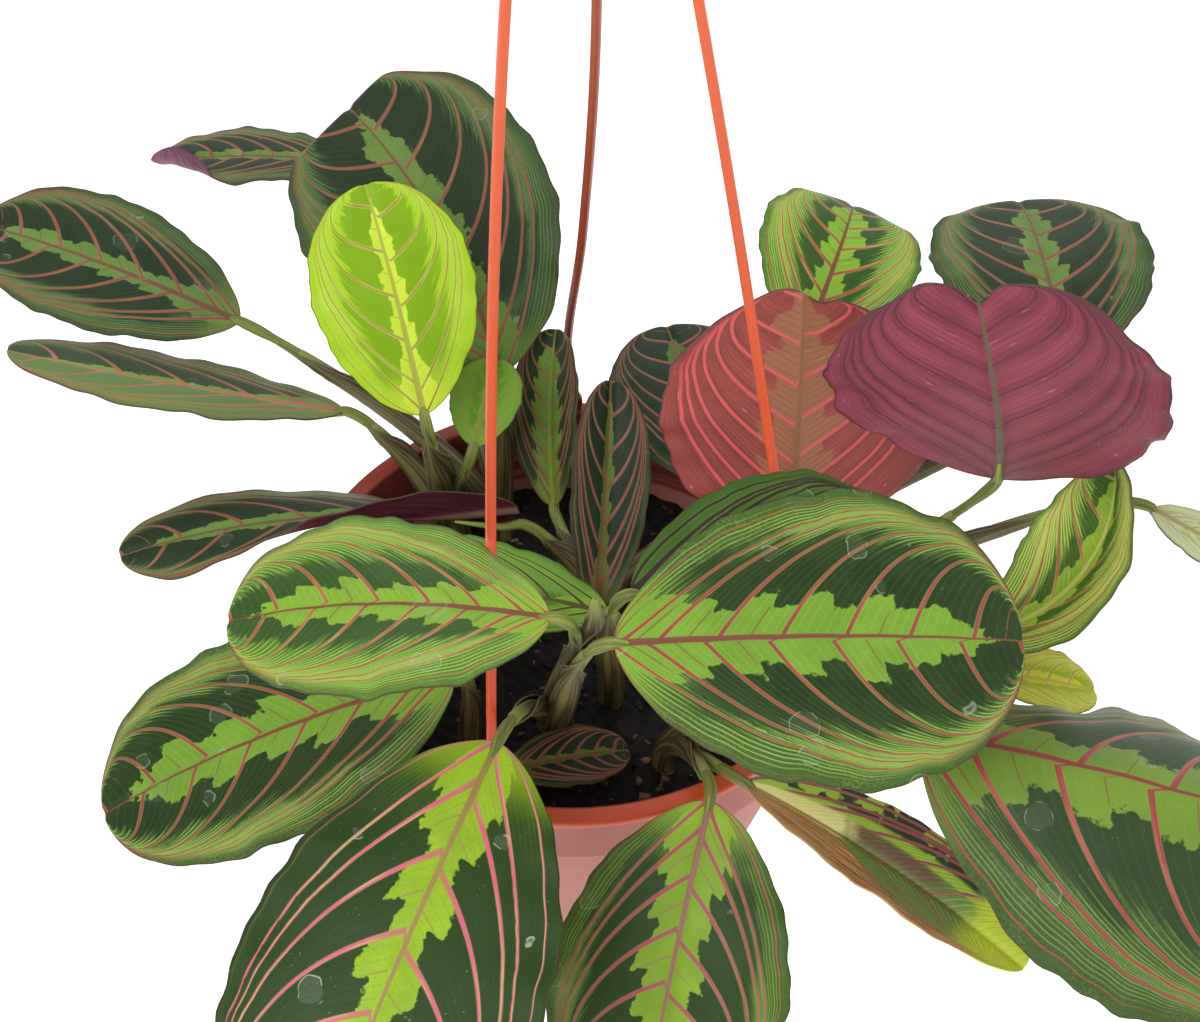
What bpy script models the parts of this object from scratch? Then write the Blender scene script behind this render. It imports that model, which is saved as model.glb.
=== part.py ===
"""A red prayer plant (Maranta leuconeura) in a 150 mm hanging pot.

The plant is laid out in the pot's own frame: the origin is the middle of the
rim, +X is right, +Y is back and +Z is up. An empty then lowers the whole
object, so that the world origin is the inside of the hook's crown, where the
real one hangs from a nail or a rail.
"""

import math
from collections import namedtuple

import bmesh
import bpy
import numpy as np
from mathutils import Vector

# ---------------------------------------------------------------- dimensions
MM = 0.001
GAP = 0.3 * MM                   # left between pieces that touch

RIM_RADIUS = 75 * MM             # outside of the rim lip
LIP_WIDTH = 3.5 * MM
LIP_DEPTH = 2.5 * MM
RIM_ROUND = 0.8 * MM
WALL = 1.8 * MM
POT_HEIGHT = 105 * MM
BASE_RADIUS = 46 * MM
BAND_HEIGHT = 20 * MM            # the straight band under the lip
STEP_WIDTH = 1.5 * MM            # each of the two steps inside the band
STEP_TOP = 15 * MM
STEP_PITCH = 4 * MM
POT_STEPS = 40
ROUND_SIDES = 16
SMALL_SIDES = 12

DRAIN_COUNT = 6
DRAIN_RADIUS = 4 * MM
DRAIN_CIRCLE = 30 * MM

SOIL_DEPTH = 25 * MM             # soil surface below the rim
SOIL_DOME = 2 * MM
ROOT_HOLE_LENGTH = 30 * MM

EAR_RADIUS = 4.5 * MM            # rounded ears that hold the strands
EAR_THICKNESS = 2.6 * MM
EAR_CENTRE = 2.2 * MM
EAR_EYE = 3 * MM                 # height of the eye above the rim
EYE_RADIUS = 1.9 * MM

STRAND_RADIUS = 1.4 * MM
BUTTON_SCALE = 1.7               # the strand's swollen end, behind the ear
STRAND_END = [(-5, 0), (-3.5, 0), (0, 0), (3, 0.4), (4.6, 2), (4.9, 5)]   # mm out, mm up
STRAND_SPACING = 18 * MM         # between the points of a strand's smooth route

HANGER_RISE = 380 * MM           # rim to the inside of the hook's crown
HOOK_WIRE = 2.2 * MM
HOOK_INNER = 12 * MM
HOOK_TURN = np.radians(np.arange(-60, 201, 13))
HUB_RADIUS = 8 * MM
HUB_HEIGHT = 10 * MM
HUB_TOP = HANGER_RISE - 42 * MM
SOCKET_CIRCLE = 4.7 * MM
SOCKET_DEPTH = 6 * MM

ROOT_RADIUS = 4 * MM             # a shoot's foot, in its hole in the soil
ROOT_DEPTH = 14 * MM
ROOT_RISE = 3 * MM
SHEATH_RADIUS = 2.6 * MM
PETIOLE_RADIUS = 1.2 * MM
PULVINUS_RADIUS = 1.6 * MM
BLADE_THICKNESS = 0.7 * MM
STALK_LEAVE = 0.6                # a stalk's end slopes, as shares of its reach
STALK_ARRIVE = 0.5
STALK_LIFT = 28                  # mm, added to a stalk's first upward reach
UNDER_MIDRIB = (0.06, 0.14)      # where a petiole ends, as shares of the blade
BLADE_ROWS = 8
SMALL_BLADE_ROWS = 6             # on a blade up to 60 mm long
BLADE_COLUMNS = 6
ROUTE_POINTS = 25
FOOT_ROUNDNESS = 0.65            # powers in the blade's outline, t^foot (1-t)^tip
TIP_ROUNDNESS = 0.5

UPWARD = Vector((0, 0, 1))

# ------------------------------------------------------------------- layout
# A strand's ear azimuth, and how far its middle bows outward and sideways.
Strand = namedtuple("Strand", "name azimuth bow_out bow_side")
STRANDS = [
    Strand("hanger_strand_front_left", 256, 0, -4),
    Strand("hanger_strand_back", 92, 6, -8),
    Strand("hanger_strand_front_right", -40, 1, 3),
]

# Where each shoot stands in the soil, in mm.
SHOOTS = {
    "shoot_left": (-36, 43),
    "shoot_back": (-22, 46),
    "shoot_inner": (6, 14),
    "shoot_middle": (10, -16),
    "shoot_centre": (-6, -24),
    "shoot_front_left": (-28, -36),
    "shoot_front_right": (24, -38),
    "shoot_right": (40, -18),
    "shoot_back_right": (44, 20),
}

# A leaf: the shoot it grows from, the foot of its blade (mm, pot frame), its
# heading and pitch and the roll about its midrib (degrees), length and width
# (mm), then how it bends: droop down its length, sway sideways, cup at the
# midrib, arch across each half, and twist along the length (degrees). sheath
# is the share of the stalk that the shoot's sheath covers. A stalk with lean 0
# leaves the soil straight up, and one with lean 1 towards the blade's foot.
LEAF_FIELDS = ("name shoot foot heading pitch roll length width "
               "droop sway cup arch twist sheath lean")
Leaf = namedtuple("Leaf", LEAF_FIELDS, defaults=(20, 0, 6, 12, 0, 0.75, 0))
LEAVES = [
    Leaf("leaf_left_far", "shoot_back", (-95, 77, 30), 165, 20, -15, 80, 44),
    Leaf("leaf_left_edge", "shoot_left", (-65, 56, 15), 180, 12, 20, 94, 38, -5),
    Leaf("leaf_back_left", "shoot_back", (-66, 128, 46), 174, 4, 10, 60, 34),
    Leaf("leaf_back_tall", "shoot_back", (-20, 50, 35), 118, 55, 0, 90, 72, 40, 20),
    Leaf("leaf_young_lime", "shoot_left", (-39, 21, 48), 112, 60, 0, 62, 44),
    Leaf("leaf_back_narrow", "shoot_inner", (-6, 33, 0), 97, 55, -40, 50, 24, 20, 0, 20),
    Leaf("leaf_left_rolled", "shoot_inner", (-15, 22, 5), 180, 9, 40, 110, 36, 26, 0, 6, 30, -50),
    Leaf("leaf_left_light", "shoot_centre", (-4, -80, 85), 181, 14, 6, 72, 58, 30, lean=0.7),
    Leaf("leaf_left_lower", "shoot_front_left", (-30, -43, 20), 200, 0, 0, 94, 66, 25),
    Leaf("leaf_front_left_large", "shoot_centre", (-17, -81, 41), 246, -15, 0, 112, 75, lean=0.5),
    Leaf("leaf_front", "shoot_front_right", (34, -76, 11), 254, -30, 0, 85, 60, 30),
    Leaf("leaf_right_large", "shoot_centre", (10, -85, 82), -1, 6, 14, 91, 74, 15, lean=1),
    Leaf("leaf_right_near", "shoot_front_right", (80, -89, 56), -14, 0, 0, 112, 106, 20, 0, -20, 30),
    Leaf("leaf_dying_rolled", "shoot_front_right", (43, -69, 9), -24, -12, 0, 81, 28, 0, -18, 22, 4),
    Leaf("leaf_right_upright", "shoot_right", (103, -27, 16), 2, 8, 35, 66, 36, 0, 90, 35, 12, -60),
    Leaf("leaf_right_small", "shoot_right", (155, 14, 20), -40, 0, 0, 38, 18, 0),
    Leaf("leaf_purple_underside", "shoot_right", (108, -4, 50), 78, 112, 180, 76, 84, -30, -20),
    Leaf("leaf_salmon_underside", "shoot_back_right", (58, 5, 15), 90, 85, 180, 76, 72, -20),
    Leaf("leaf_behind_large", "shoot_middle", (14, -62, 72), 4, 12, 28, 62, 45, 0, lean=1),
    Leaf("leaf_back_right_light", "shoot_back_right", (63, 53, 45), 60, 45, 20, 52, 46, 80),
    Leaf("leaf_back_right_dark", "shoot_back_right", (131, 38, 50), 95, 20, 0, 65, 62, 40),
    Leaf("leaf_back_centre_dark", "shoot_inner", (41, 36, 4), 105, 20, 0, 58, 46, 20),
    Leaf("leaf_centre_narrow", "shoot_middle", (6, -7, 2), 82, 50, 20, 62, 24, 15, 0, 30),
    Leaf("leaf_under_left", "shoot_middle", (9, -16, 12), 170, 8, 5, 60, 34, 0),
    Leaf("leaf_low_dark", "shoot_front_left", (-18, -50, -12), 15, 5, 0, 34, 20),
    Leaf("leaf_backlit_green", "shoot_left", (-27, 27, 30), 75, 35, 0, 26, 20),
    Leaf("leaf_right_translucent", "shoot_right", (106, -36, 11), 5, -10, 0, 32, 22, sheath=0.4),
]

# A rolled young leaf that stands beside the centre shoot's sheaths, in mm.
BUD_SHOOT = "shoot_centre"
BUD_ROUTE = ((1.5, -63, 55), (4.5, -70, 69), (6, -76, 80), (6, -77, 87))
BUD_RADII = (1.2, 1.8, 2.2, 0.9)

COLOURS = {
    "pot": ((0.55, 0.11, 0.04), 0.45),
    "soil": ((0.02, 0.014, 0.01), 0.95),
    "hanger": ((0.75, 0.13, 0.03), 0.35),
    "stem": ((0.16, 0.15, 0.06), 0.55),
    "leaf": ((0.09, 0.22, 0.05), 0.4),
    "young_leaf": ((0.45, 0.6, 0.06), 0.4),
    "underside": ((0.35, 0.06, 0.1), 0.5),
}
YOUNG_LEAVES = ("leaf_young_lime", "leaf_backlit_green", "leaf_right_translucent")


# ------------------------------------------------------------------ helpers
def clear_scene():
    for item in list(bpy.data.objects):
        bpy.data.objects.remove(item, do_unlink=True)


def new_collection(name):
    collection = bpy.data.collections.new(name)
    bpy.context.scene.collection.children.link(collection)
    return collection


def make_material(name):
    colour, roughness = COLOURS[name]
    material = bpy.data.materials.new(name)
    material.use_nodes = True
    shader = material.node_tree.nodes["Principled BSDF"]
    shader.inputs["Base Color"].default_value = (*colour, 1)
    shader.inputs["Roughness"].default_value = roughness
    return material


def add_object(name, data, collection, material=None):
    item = bpy.data.objects.new(name, data)
    collection.objects.link(item)
    if material:
        data.materials.append(material)
        item.parent = FRAME
    return item


def hide_tool(item):
    item.hide_render = True
    item.display_type = "WIRE"


def polar(azimuth, radius, height):
    angle = math.radians(azimuth)
    return Vector((radius * math.cos(angle), radius * math.sin(angle), height))


def turned(name, profile, steps, collection, material):
    """A profile of (radius, height) pairs, turned about Z."""
    mesh = bpy.data.meshes.new(name)
    points = [(radius, 0, height) for radius, height in profile]
    edges = [(i, i + 1) for i in range(len(points) - 1)]
    mesh.from_pydata(points, edges, [])
    item = add_object(name, mesh, collection, material)
    screw = item.modifiers.new("turn", "SCREW")
    screw.steps = steps
    screw.render_steps = steps
    screw.use_merge_vertices = True
    screw.merge_threshold = 0.00001
    return item


def bar_mesh(name, radius, depth, sides):
    mesh = bpy.data.meshes.new(name)
    shape = bmesh.new()
    bmesh.ops.create_cone(shape, cap_ends=True, segments=sides,
                          radius1=radius, radius2=radius, depth=depth)
    shape.to_mesh(mesh)
    shape.free()
    return mesh


def tool_bar(name, radius, depth, centre, axis, collection, sides=ROUND_SIDES):
    item = bpy.data.objects.new(name, bar_mesh(name, radius, depth, sides))
    item.location = centre
    item.rotation_euler = axis.to_track_quat("Z", "Y").to_euler()
    item.parent = FRAME
    collection.objects.link(item)
    hide_tool(item)
    return item


def tube_mesh(name, points, radii, resolution):
    """A tube along the points, made a mesh with its end caps welded on."""
    curve = bpy.data.curves.new(name, "CURVE")
    curve.dimensions = "3D"
    curve.bevel_depth = 1.0
    curve.bevel_resolution = resolution
    curve.use_fill_caps = True
    spline = curve.splines.new("POLY")
    spline.points.add(len(points) - 1)
    for target, point, radius in zip(spline.points, points, radii):
        target.co = (*point, 1)
        target.radius = radius
    guide = bpy.data.objects.new(name, curve)
    bpy.context.scene.collection.objects.link(guide)
    bpy.context.view_layer.update()
    evaluated = guide.evaluated_get(bpy.context.evaluated_depsgraph_get())
    mesh = bpy.data.meshes.new_from_object(evaluated)
    bpy.data.objects.remove(guide, do_unlink=True)
    shape = bmesh.new()
    shape.from_mesh(mesh)
    bmesh.ops.remove_doubles(shape, verts=shape.verts, dist=0.00001)
    shape.to_mesh(mesh)
    shape.free()
    return mesh


def add_tool_tube(name, points, radii, resolution, collection):
    tube = bpy.data.objects.new(name, tube_mesh(name, points, radii, resolution))
    tube.parent = FRAME
    collection.objects.link(tube)
    hide_tool(tube)
    return tube


def boolean(item, operation, tool):
    modifier = item.modifiers.new(operation.lower(), "BOOLEAN")
    modifier.operation = operation
    modifier.solver = "EXACT"
    if isinstance(tool, bpy.types.Collection):
        modifier.operand_type = "COLLECTION"
        modifier.collection = tool
    else:
        modifier.object = tool


def smooth_route(points, spacing):
    """A cubic through the points, whose tangents weigh each side's length."""
    points = np.array(points)
    spans = np.diff(points, axis=0)
    lengths = np.linalg.norm(spans, axis=1)[:, None]
    slopes = spans / lengths
    middle = (slopes[:-1] * lengths[1:] + slopes[1:] * lengths[:-1]) / (lengths[1:] + lengths[:-1])
    tangents = np.vstack([slopes[:1], middle, slopes[-1:]])
    route = [points[0]]
    for i, length in enumerate(lengths[:, 0]):
        count = max(1, round(length / spacing))
        u = np.linspace(0, 1, count + 1)[1:, None]
        route.extend((2 * u ** 3 - 3 * u ** 2 + 1) * points[i]
                     + (3 * u ** 2 - 2 * u ** 3) * points[i + 1]
                     + length * ((u ** 3 - 2 * u ** 2 + u) * tangents[i]
                                 + (u ** 3 - u ** 2) * tangents[i + 1]))
    return np.array(route)


# ----------------------------------------------------------------- pot, soil
def band_radius():
    return RIM_RADIUS - LIP_WIDTH


def inner_radius(depth):
    """Inside of the tapered wall, at a depth below the rim."""
    share = (depth - BAND_HEIGHT) / (POT_HEIGHT - BAND_HEIGHT)
    top = band_radius() - WALL - 2 * STEP_WIDTH
    return top + (BASE_RADIUS - WALL - top) * share


def pot_profile():
    floor = POT_HEIGHT - WALL
    wall = band_radius() - WALL
    return [
        (0, -floor),
        (inner_radius(floor), -floor),
        (wall - 2 * STEP_WIDTH, -STEP_TOP - STEP_PITCH),
        (wall - STEP_WIDTH, -STEP_TOP - STEP_PITCH),
        (wall - STEP_WIDTH, -STEP_TOP),
        (wall, -STEP_TOP),
        (wall, -RIM_ROUND),
        (wall + RIM_ROUND, 0),
        (RIM_RADIUS - RIM_ROUND, 0),
        (RIM_RADIUS, -RIM_ROUND),
        (RIM_RADIUS, -LIP_DEPTH),
        (band_radius(), -LIP_DEPTH),
        (band_radius(), -BAND_HEIGHT),
        (band_radius() - 2 * STEP_WIDTH, -BAND_HEIGHT - STEP_PITCH),
        (BASE_RADIUS, -POT_HEIGHT),
        (0, -POT_HEIGHT),
    ]


def make_pot(parts, material):
    pot = turned("pot", pot_profile(), POT_STEPS, parts, material)
    ears = new_collection("pot_ears")
    cuts = new_collection("pot_cuts")
    middle = RIM_RADIUS - LIP_WIDTH / 2
    for strand in STRANDS:
        outward = polar(strand.azimuth, 1, 0)
        tool_bar(strand.name + "_ear", EAR_RADIUS, EAR_THICKNESS,
                 polar(strand.azimuth, middle, EAR_CENTRE), outward, ears)
        tool_bar(strand.name + "_eye", EYE_RADIUS, 3 * EAR_THICKNESS,
                 polar(strand.azimuth, middle, EAR_EYE), outward, cuts, SMALL_SIDES)
    for i in range(DRAIN_COUNT):
        place = polar(360 * i / DRAIN_COUNT, DRAIN_CIRCLE, -POT_HEIGHT)
        tool_bar(f"drain_{i}", DRAIN_RADIUS, 4 * WALL, place, UPWARD, cuts)
    boolean(pot, "UNION", ears)
    boolean(pot, "DIFFERENCE", cuts)
    return pot


def make_soil(parts, material):
    surface = -SOIL_DEPTH
    depth = POT_HEIGHT - WALL - GAP
    profile = [
        (0, surface + SOIL_DOME),
        (0.5 * RIM_RADIUS, surface + SOIL_DOME / 2),
        (inner_radius(SOIL_DEPTH) - GAP, surface),
        (inner_radius(depth) - GAP, -depth),
        (0, -depth),
    ]
    soil = turned("soil", profile, POT_STEPS, parts, material)
    holes = new_collection("root_holes")
    for name, (x, y) in SHOOTS.items():
        floor = surface - ROOT_DEPTH - GAP
        centre = Vector((x * MM, y * MM, floor + ROOT_HOLE_LENGTH / 2))
        tool_bar(name + "_hole", ROOT_RADIUS + GAP, ROOT_HOLE_LENGTH, centre, UPWARD, holes)
    boolean(soil, "DIFFERENCE", holes)
    return soil


# -------------------------------------------------------------------- hanger
def strand_route(strand):
    """From the button behind the ear, through its eye, and up to the hub."""
    middle = RIM_RADIUS - LIP_WIDTH / 2
    hub_bottom = HUB_TOP - HUB_HEIGHT
    outward = polar(strand.azimuth, 1, 0)
    sideways = polar(strand.azimuth + 90, 1, 0)
    points = [outward * (middle + out * MM) + Vector((0, 0, EAR_EYE + up * MM))
              for out, up in STRAND_END]
    start = points[-1]
    end = polar(strand.azimuth, SOCKET_CIRCLE, hub_bottom - SOCKET_DEPTH)
    for share in (0.2, 0.4, 0.6, 0.8):
        bow = math.sin(math.pi * share) * MM
        points.append(start.lerp(end, share) + outward * strand.bow_out * bow
                      + sideways * strand.bow_side * bow)
    points.append(end)
    top = hub_bottom + SOCKET_DEPTH - GAP
    points.append(polar(strand.azimuth, SOCKET_CIRCLE, hub_bottom))
    points.append(polar(strand.azimuth, SOCKET_CIRCLE, top))
    return [np.array(point) for point in points]


def make_strand(strand, parts, material):
    route = smooth_route(strand_route(strand), STRAND_SPACING)
    radii = [STRAND_RADIUS * (BUTTON_SCALE if i < 2 else 1) for i in range(len(route))]
    mesh = tube_mesh(strand.name, route, radii, 2)
    mesh.shade_smooth()
    return add_object(strand.name, mesh, parts, material)


def hook_route():
    ring = HOOK_INNER + HOOK_WIRE
    centre = HANGER_RISE - HOOK_INNER
    points = [(0, 0, HUB_TOP - 4 * MM), (0, 0, HUB_TOP + 2 * MM), (0.5 * MM, 0, HUB_TOP + 8 * MM)]
    for angle in HOOK_TURN:
        points.append((ring * math.cos(angle), 0, centre + ring * math.sin(angle)))
    return points


def make_hook(wire, parts, material):
    hub = bar_mesh("hook", HUB_RADIUS, HUB_HEIGHT, ROUND_SIDES)
    hook = add_object("hook", hub, parts, material)
    hook.location.z = HUB_TOP - HUB_HEIGHT / 2
    sockets = new_collection("hub_sockets")
    for strand in STRANDS:
        place = polar(strand.azimuth, SOCKET_CIRCLE, HUB_TOP - HUB_HEIGHT)
        tool_bar(strand.name + "_socket", STRAND_RADIUS + GAP, 2 * SOCKET_DEPTH, place,
                 UPWARD, sockets, SMALL_SIDES)
    boolean(hook, "UNION", wire)
    boolean(hook, "DIFFERENCE", sockets)
    return hook


# --------------------------------------------------------------------- plant
def blade_frame(leaf):
    """Forward, left and up at the blade's foot, as columns."""
    heading, pitch, roll = np.radians([leaf.heading, leaf.pitch, leaf.roll])
    forward = np.array([math.cos(heading) * math.cos(pitch),
                        math.sin(heading) * math.cos(pitch), math.sin(pitch)])
    level = np.array([-math.sin(heading), math.cos(heading), 0])
    above = np.cross(forward, level)
    left = level * math.cos(roll) + above * math.sin(roll)
    up = above * math.cos(roll) - level * math.sin(roll)
    return np.column_stack([forward, left, up])


def half_width(leaf, t):
    """A broad ellipse, fullest a little past the middle of the blade."""
    fullest = FOOT_ROUNDNESS / (FOOT_ROUNDNESS + TIP_ROUNDNESS)
    peak = fullest ** FOOT_ROUNDNESS * (1 - fullest) ** TIP_ROUNDNESS
    return leaf.width / 2 * t ** FOOT_ROUNDNESS * (1 - t) ** TIP_ROUNDNESS / peak


def midrib(leaf, t):
    """The midrib bends by droop t^1.4 down and sway t sideways, in mm."""
    fine = np.linspace(0, 1, 101)
    down = math.radians(leaf.droop) * fine ** 1.4
    side = math.radians(leaf.sway) * fine
    step = np.column_stack([np.cos(side) * np.cos(down), np.sin(side) * np.cos(down),
                            -np.sin(down)]) * leaf.length / 100
    line = np.vstack([np.zeros(3), np.cumsum((step[1:] + step[:-1]) / 2, axis=0)])
    return np.column_stack([np.interp(t, fine, line[:, k]) for k in range(3)])


def blade_surface(leaf, t, s):
    """Points over the blade: t from foot to tip, s from -1 to 1 across it.

    Each half rises by cup at the midrib and then curves over by arch, along
    an arc whose length is the half width.
    """
    down = math.radians(leaf.droop) * t ** 1.4
    side = math.radians(leaf.sway) * t
    turn = math.radians(leaf.twist) * t
    across = np.column_stack([-np.sin(side), np.cos(side), 0 * side])
    normal = np.column_stack([np.cos(side) * np.sin(down), np.sin(side) * np.sin(down),
                              np.cos(down)])
    cos_turn = np.cos(turn)[:, None]
    sin_turn = np.sin(turn)[:, None]
    across, normal = (across * cos_turn + normal * sin_turn,
                      normal * cos_turn - across * sin_turn)
    cup = math.radians(leaf.cup)
    arch = math.radians(leaf.arch)
    reach = np.sign(s) * (math.sin(cup) - np.sin(cup - arch * np.abs(s))) / arch
    rise = (np.cos(cup - arch * np.abs(s)) - math.cos(cup)) / arch
    width = half_width(leaf, t)[:, None, None]
    local = (midrib(leaf, t)[:, None]
             + across[:, None] * width * reach[None, :, None]
             + normal[:, None] * width * rise[None, :, None])
    return (np.array(leaf.foot) + local @ blade_frame(leaf).T) * MM


def stalk_route(leaf):
    """A cubic from the shoot's place in the soil to the blade's foot.

    It meets the blade along its midrib, and a leaning stalk bends later.
    """
    start = np.array([*SHOOTS[leaf.shoot], -SOIL_DEPTH / MM])
    end = np.array(leaf.foot)
    reach = np.linalg.norm(end - start)
    upright = np.array([0, 0, STALK_LEAVE * reach + STALK_LIFT])
    leave = upright * (1 - leaf.lean) + (end - start) * leaf.lean
    arrive = blade_frame(leaf)[:, 0] * STALK_ARRIVE * reach * (1 - leaf.lean / 2)
    u = np.linspace(0, 1, ROUTE_POINTS)[:, None]
    return ((2 * u ** 3 - 3 * u ** 2 + 1) * start + (u ** 3 - 2 * u ** 2 + u) * leave
            + (3 * u ** 2 - 2 * u ** 3) * end + (u ** 3 - u ** 2) * arrive) * MM


def blade_mesh(leaf, rows, columns):
    """A grid of triangles with one point at the foot and one at the tip."""
    t = np.linspace(0, 1, rows + 1)
    s = np.linspace(-1, 1, columns + 1)
    inner = blade_surface(leaf, t[1:-1], s)
    ends = blade_surface(leaf, t[[0, -1]], np.zeros(1))
    points = [*inner.reshape(-1, 3), ends[0, 0], ends[1, 0]]
    foot = len(points) - 2
    tip = len(points) - 1
    row = columns + 1
    faces = []
    for j in range(columns):
        faces.append((foot, j + 1, j)[::-1])
        last = (rows - 2) * row + j
        faces.append((last, last + 1, tip)[::-1])
        for i in range(rows - 2):
            a = i * row + j
            faces.append((a + row, a + 1, a))
            faces.append((a + row, a + row + 1, a + 1))
    mesh = bpy.data.meshes.new(leaf.name)
    mesh.from_pydata([tuple(point) for point in points], [], faces)
    return mesh


def make_petiole(leaf, tools):
    """From just past the sheath, through the pulvinus, to under the midrib."""
    route = stalk_route(leaf)
    first = round(leaf.sheath * (ROUTE_POINTS - 1))
    stalk = route[first::2].copy()
    along = stalk[1] - stalk[0]
    stalk[0] += along / np.linalg.norm(along) * GAP
    inside = blade_surface(leaf, np.array(UNDER_MIDRIB), np.zeros(1))[:, 0]
    points = np.vstack([stalk[:-1], route[-1], inside])
    radii = [PETIOLE_RADIUS] * len(stalk) + [0.9 * PETIOLE_RADIUS, 0.6 * PETIOLE_RADIUS]
    radii[len(stalk) - 2] = PULVINUS_RADIUS
    radii[len(stalk) - 1] = PULVINUS_RADIUS
    return add_tool_tube(leaf.name + "_petiole", points, radii, 1, tools)


def make_sheaths(name):
    """One tapered sheath along the lower part of each of a shoot's stalks, and the bud."""
    sheaths = new_collection(name + "_sheaths")
    for leaf in LEAVES:
        if leaf.shoot != name:
            continue
        last = round(leaf.sheath * (ROUTE_POINTS - 1))
        route = stalk_route(leaf)[:last + 1]
        points = np.vstack([route[:-1:2], route[-1]])
        radii = np.linspace(SHEATH_RADIUS, PETIOLE_RADIUS + 0.5 * MM, len(points))
        add_tool_tube(leaf.name + "_sheath", points, radii, 1, sheaths)
    if name == BUD_SHOOT:
        add_tool_tube("young_bud", np.array(BUD_ROUTE) * MM, np.array(BUD_RADII) * MM, 1, sheaths)
    return sheaths


def make_leaf(leaf, petiole, parts, material):
    """A blade with its pulvinus and petiole, as one body."""
    rows = BLADE_ROWS if leaf.length > 60 else SMALL_BLADE_ROWS
    item = add_object(leaf.name, blade_mesh(leaf, rows, BLADE_COLUMNS), parts, material)
    solidify = item.modifiers.new("thickness", "SOLIDIFY")
    solidify.thickness = BLADE_THICKNESS
    solidify.offset = 0
    boolean(item, "UNION", petiole)
    return item


def make_shoot(name, sheaths, parts, material):
    """A foot in the soil, with one sheath rising along each of its stalks."""
    x, y = SHOOTS[name]
    height = ROOT_DEPTH + ROOT_RISE
    foot = bar_mesh(name, ROOT_RADIUS, height, SMALL_SIDES)
    item = add_object(name, foot, parts, material)
    item.location = (x * MM, y * MM, -SOIL_DEPTH - ROOT_DEPTH + height / 2)
    boolean(item, "UNION", sheaths)
    return item


def leaf_material(leaf, materials):
    if leaf.name.endswith("underside"):
        return materials["underside"]
    if leaf.name in YOUNG_LEAVES:
        return materials["young_leaf"]
    return materials["leaf"]


# --------------------------------------------------------------------- model
clear_scene()
parts = new_collection("potted_prayer_plant")
tools = new_collection("tools")
FRAME = bpy.data.objects.new("pot_frame", None)
FRAME.location.z = -HANGER_RISE
parts.objects.link(FRAME)
materials = {name: make_material(name) for name in COLOURS}

# The tubes come first: each one is evaluated by itself, before any Boolean.
for strand in STRANDS:
    make_strand(strand, parts, materials["hanger"])
hook_line = hook_route()
hook_wire = add_tool_tube("hook_wire", hook_line, [HOOK_WIRE] * len(hook_line), 3, tools)
sheaths = {name: make_sheaths(name) for name in SHOOTS}
petioles = {leaf.name: make_petiole(leaf, tools) for leaf in LEAVES}

make_pot(parts, materials["pot"])
make_soil(parts, materials["soil"])
make_hook(hook_wire, parts, materials["hanger"])
for name in SHOOTS:
    make_shoot(name, sheaths[name], parts, materials["stem"])
for leaf in LEAVES:
    make_leaf(leaf, petioles[leaf.name], parts, leaf_material(leaf, materials))
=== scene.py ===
"""The looks of a red prayer plant in a hanging pot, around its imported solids.

Lengths are in millimetres in the pot's own frame: its origin is the middle of
the rim, +X is right, +Y is back and +Z is up. place() turns them into metres
in the shared frame.
"""
import math
from collections import namedtuple

import bmesh
import bpy
import numpy as np
from mathutils import Matrix, Vector


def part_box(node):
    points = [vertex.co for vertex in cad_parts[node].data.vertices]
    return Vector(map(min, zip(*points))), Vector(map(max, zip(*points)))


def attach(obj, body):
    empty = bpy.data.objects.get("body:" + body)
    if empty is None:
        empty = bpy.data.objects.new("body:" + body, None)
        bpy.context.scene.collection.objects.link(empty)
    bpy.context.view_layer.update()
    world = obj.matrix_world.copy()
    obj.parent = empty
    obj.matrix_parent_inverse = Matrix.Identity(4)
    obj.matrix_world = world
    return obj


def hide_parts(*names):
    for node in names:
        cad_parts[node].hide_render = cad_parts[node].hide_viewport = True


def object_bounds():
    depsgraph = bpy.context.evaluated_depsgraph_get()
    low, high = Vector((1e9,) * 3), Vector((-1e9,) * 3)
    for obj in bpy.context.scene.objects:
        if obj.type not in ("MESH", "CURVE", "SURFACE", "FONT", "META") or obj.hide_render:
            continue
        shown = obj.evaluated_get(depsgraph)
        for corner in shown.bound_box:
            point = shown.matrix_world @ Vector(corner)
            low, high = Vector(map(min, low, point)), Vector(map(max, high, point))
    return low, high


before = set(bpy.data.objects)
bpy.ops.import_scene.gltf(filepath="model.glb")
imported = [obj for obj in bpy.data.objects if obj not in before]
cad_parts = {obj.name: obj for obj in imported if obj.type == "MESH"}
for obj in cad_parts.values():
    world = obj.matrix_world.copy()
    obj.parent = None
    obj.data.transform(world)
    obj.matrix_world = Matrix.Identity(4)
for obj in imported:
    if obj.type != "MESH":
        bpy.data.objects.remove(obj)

CAD_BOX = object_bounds()

# ---------------------------------------------------------------- dimensions
MM = 0.001
RIM_RADIUS = 75
LIP_WIDTH = 3.5
LIP_DEPTH = 2.5
WALL = 1.8
POT_HEIGHT = 105
BASE_RADIUS = 46
BAND_HEIGHT = 20
STEP_WIDTH = 1.5
STEP_TOP = 15
STEP_PITCH = 4
RIM_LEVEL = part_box("pot")[0][2] + POT_HEIGHT * MM    # the rim in the shared frame

DRAIN_COUNT = 6
DRAIN_RADIUS = 4
DRAIN_CIRCLE = 30

SOIL_DEPTH = 25
SOIL_BITS = 420

EAR_RADIUS = 4.5
EAR_THICKNESS = 2.6
EAR_CENTRE = 2.2
EAR_EYE = 3
EYE_RADIUS = 1.9

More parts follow.
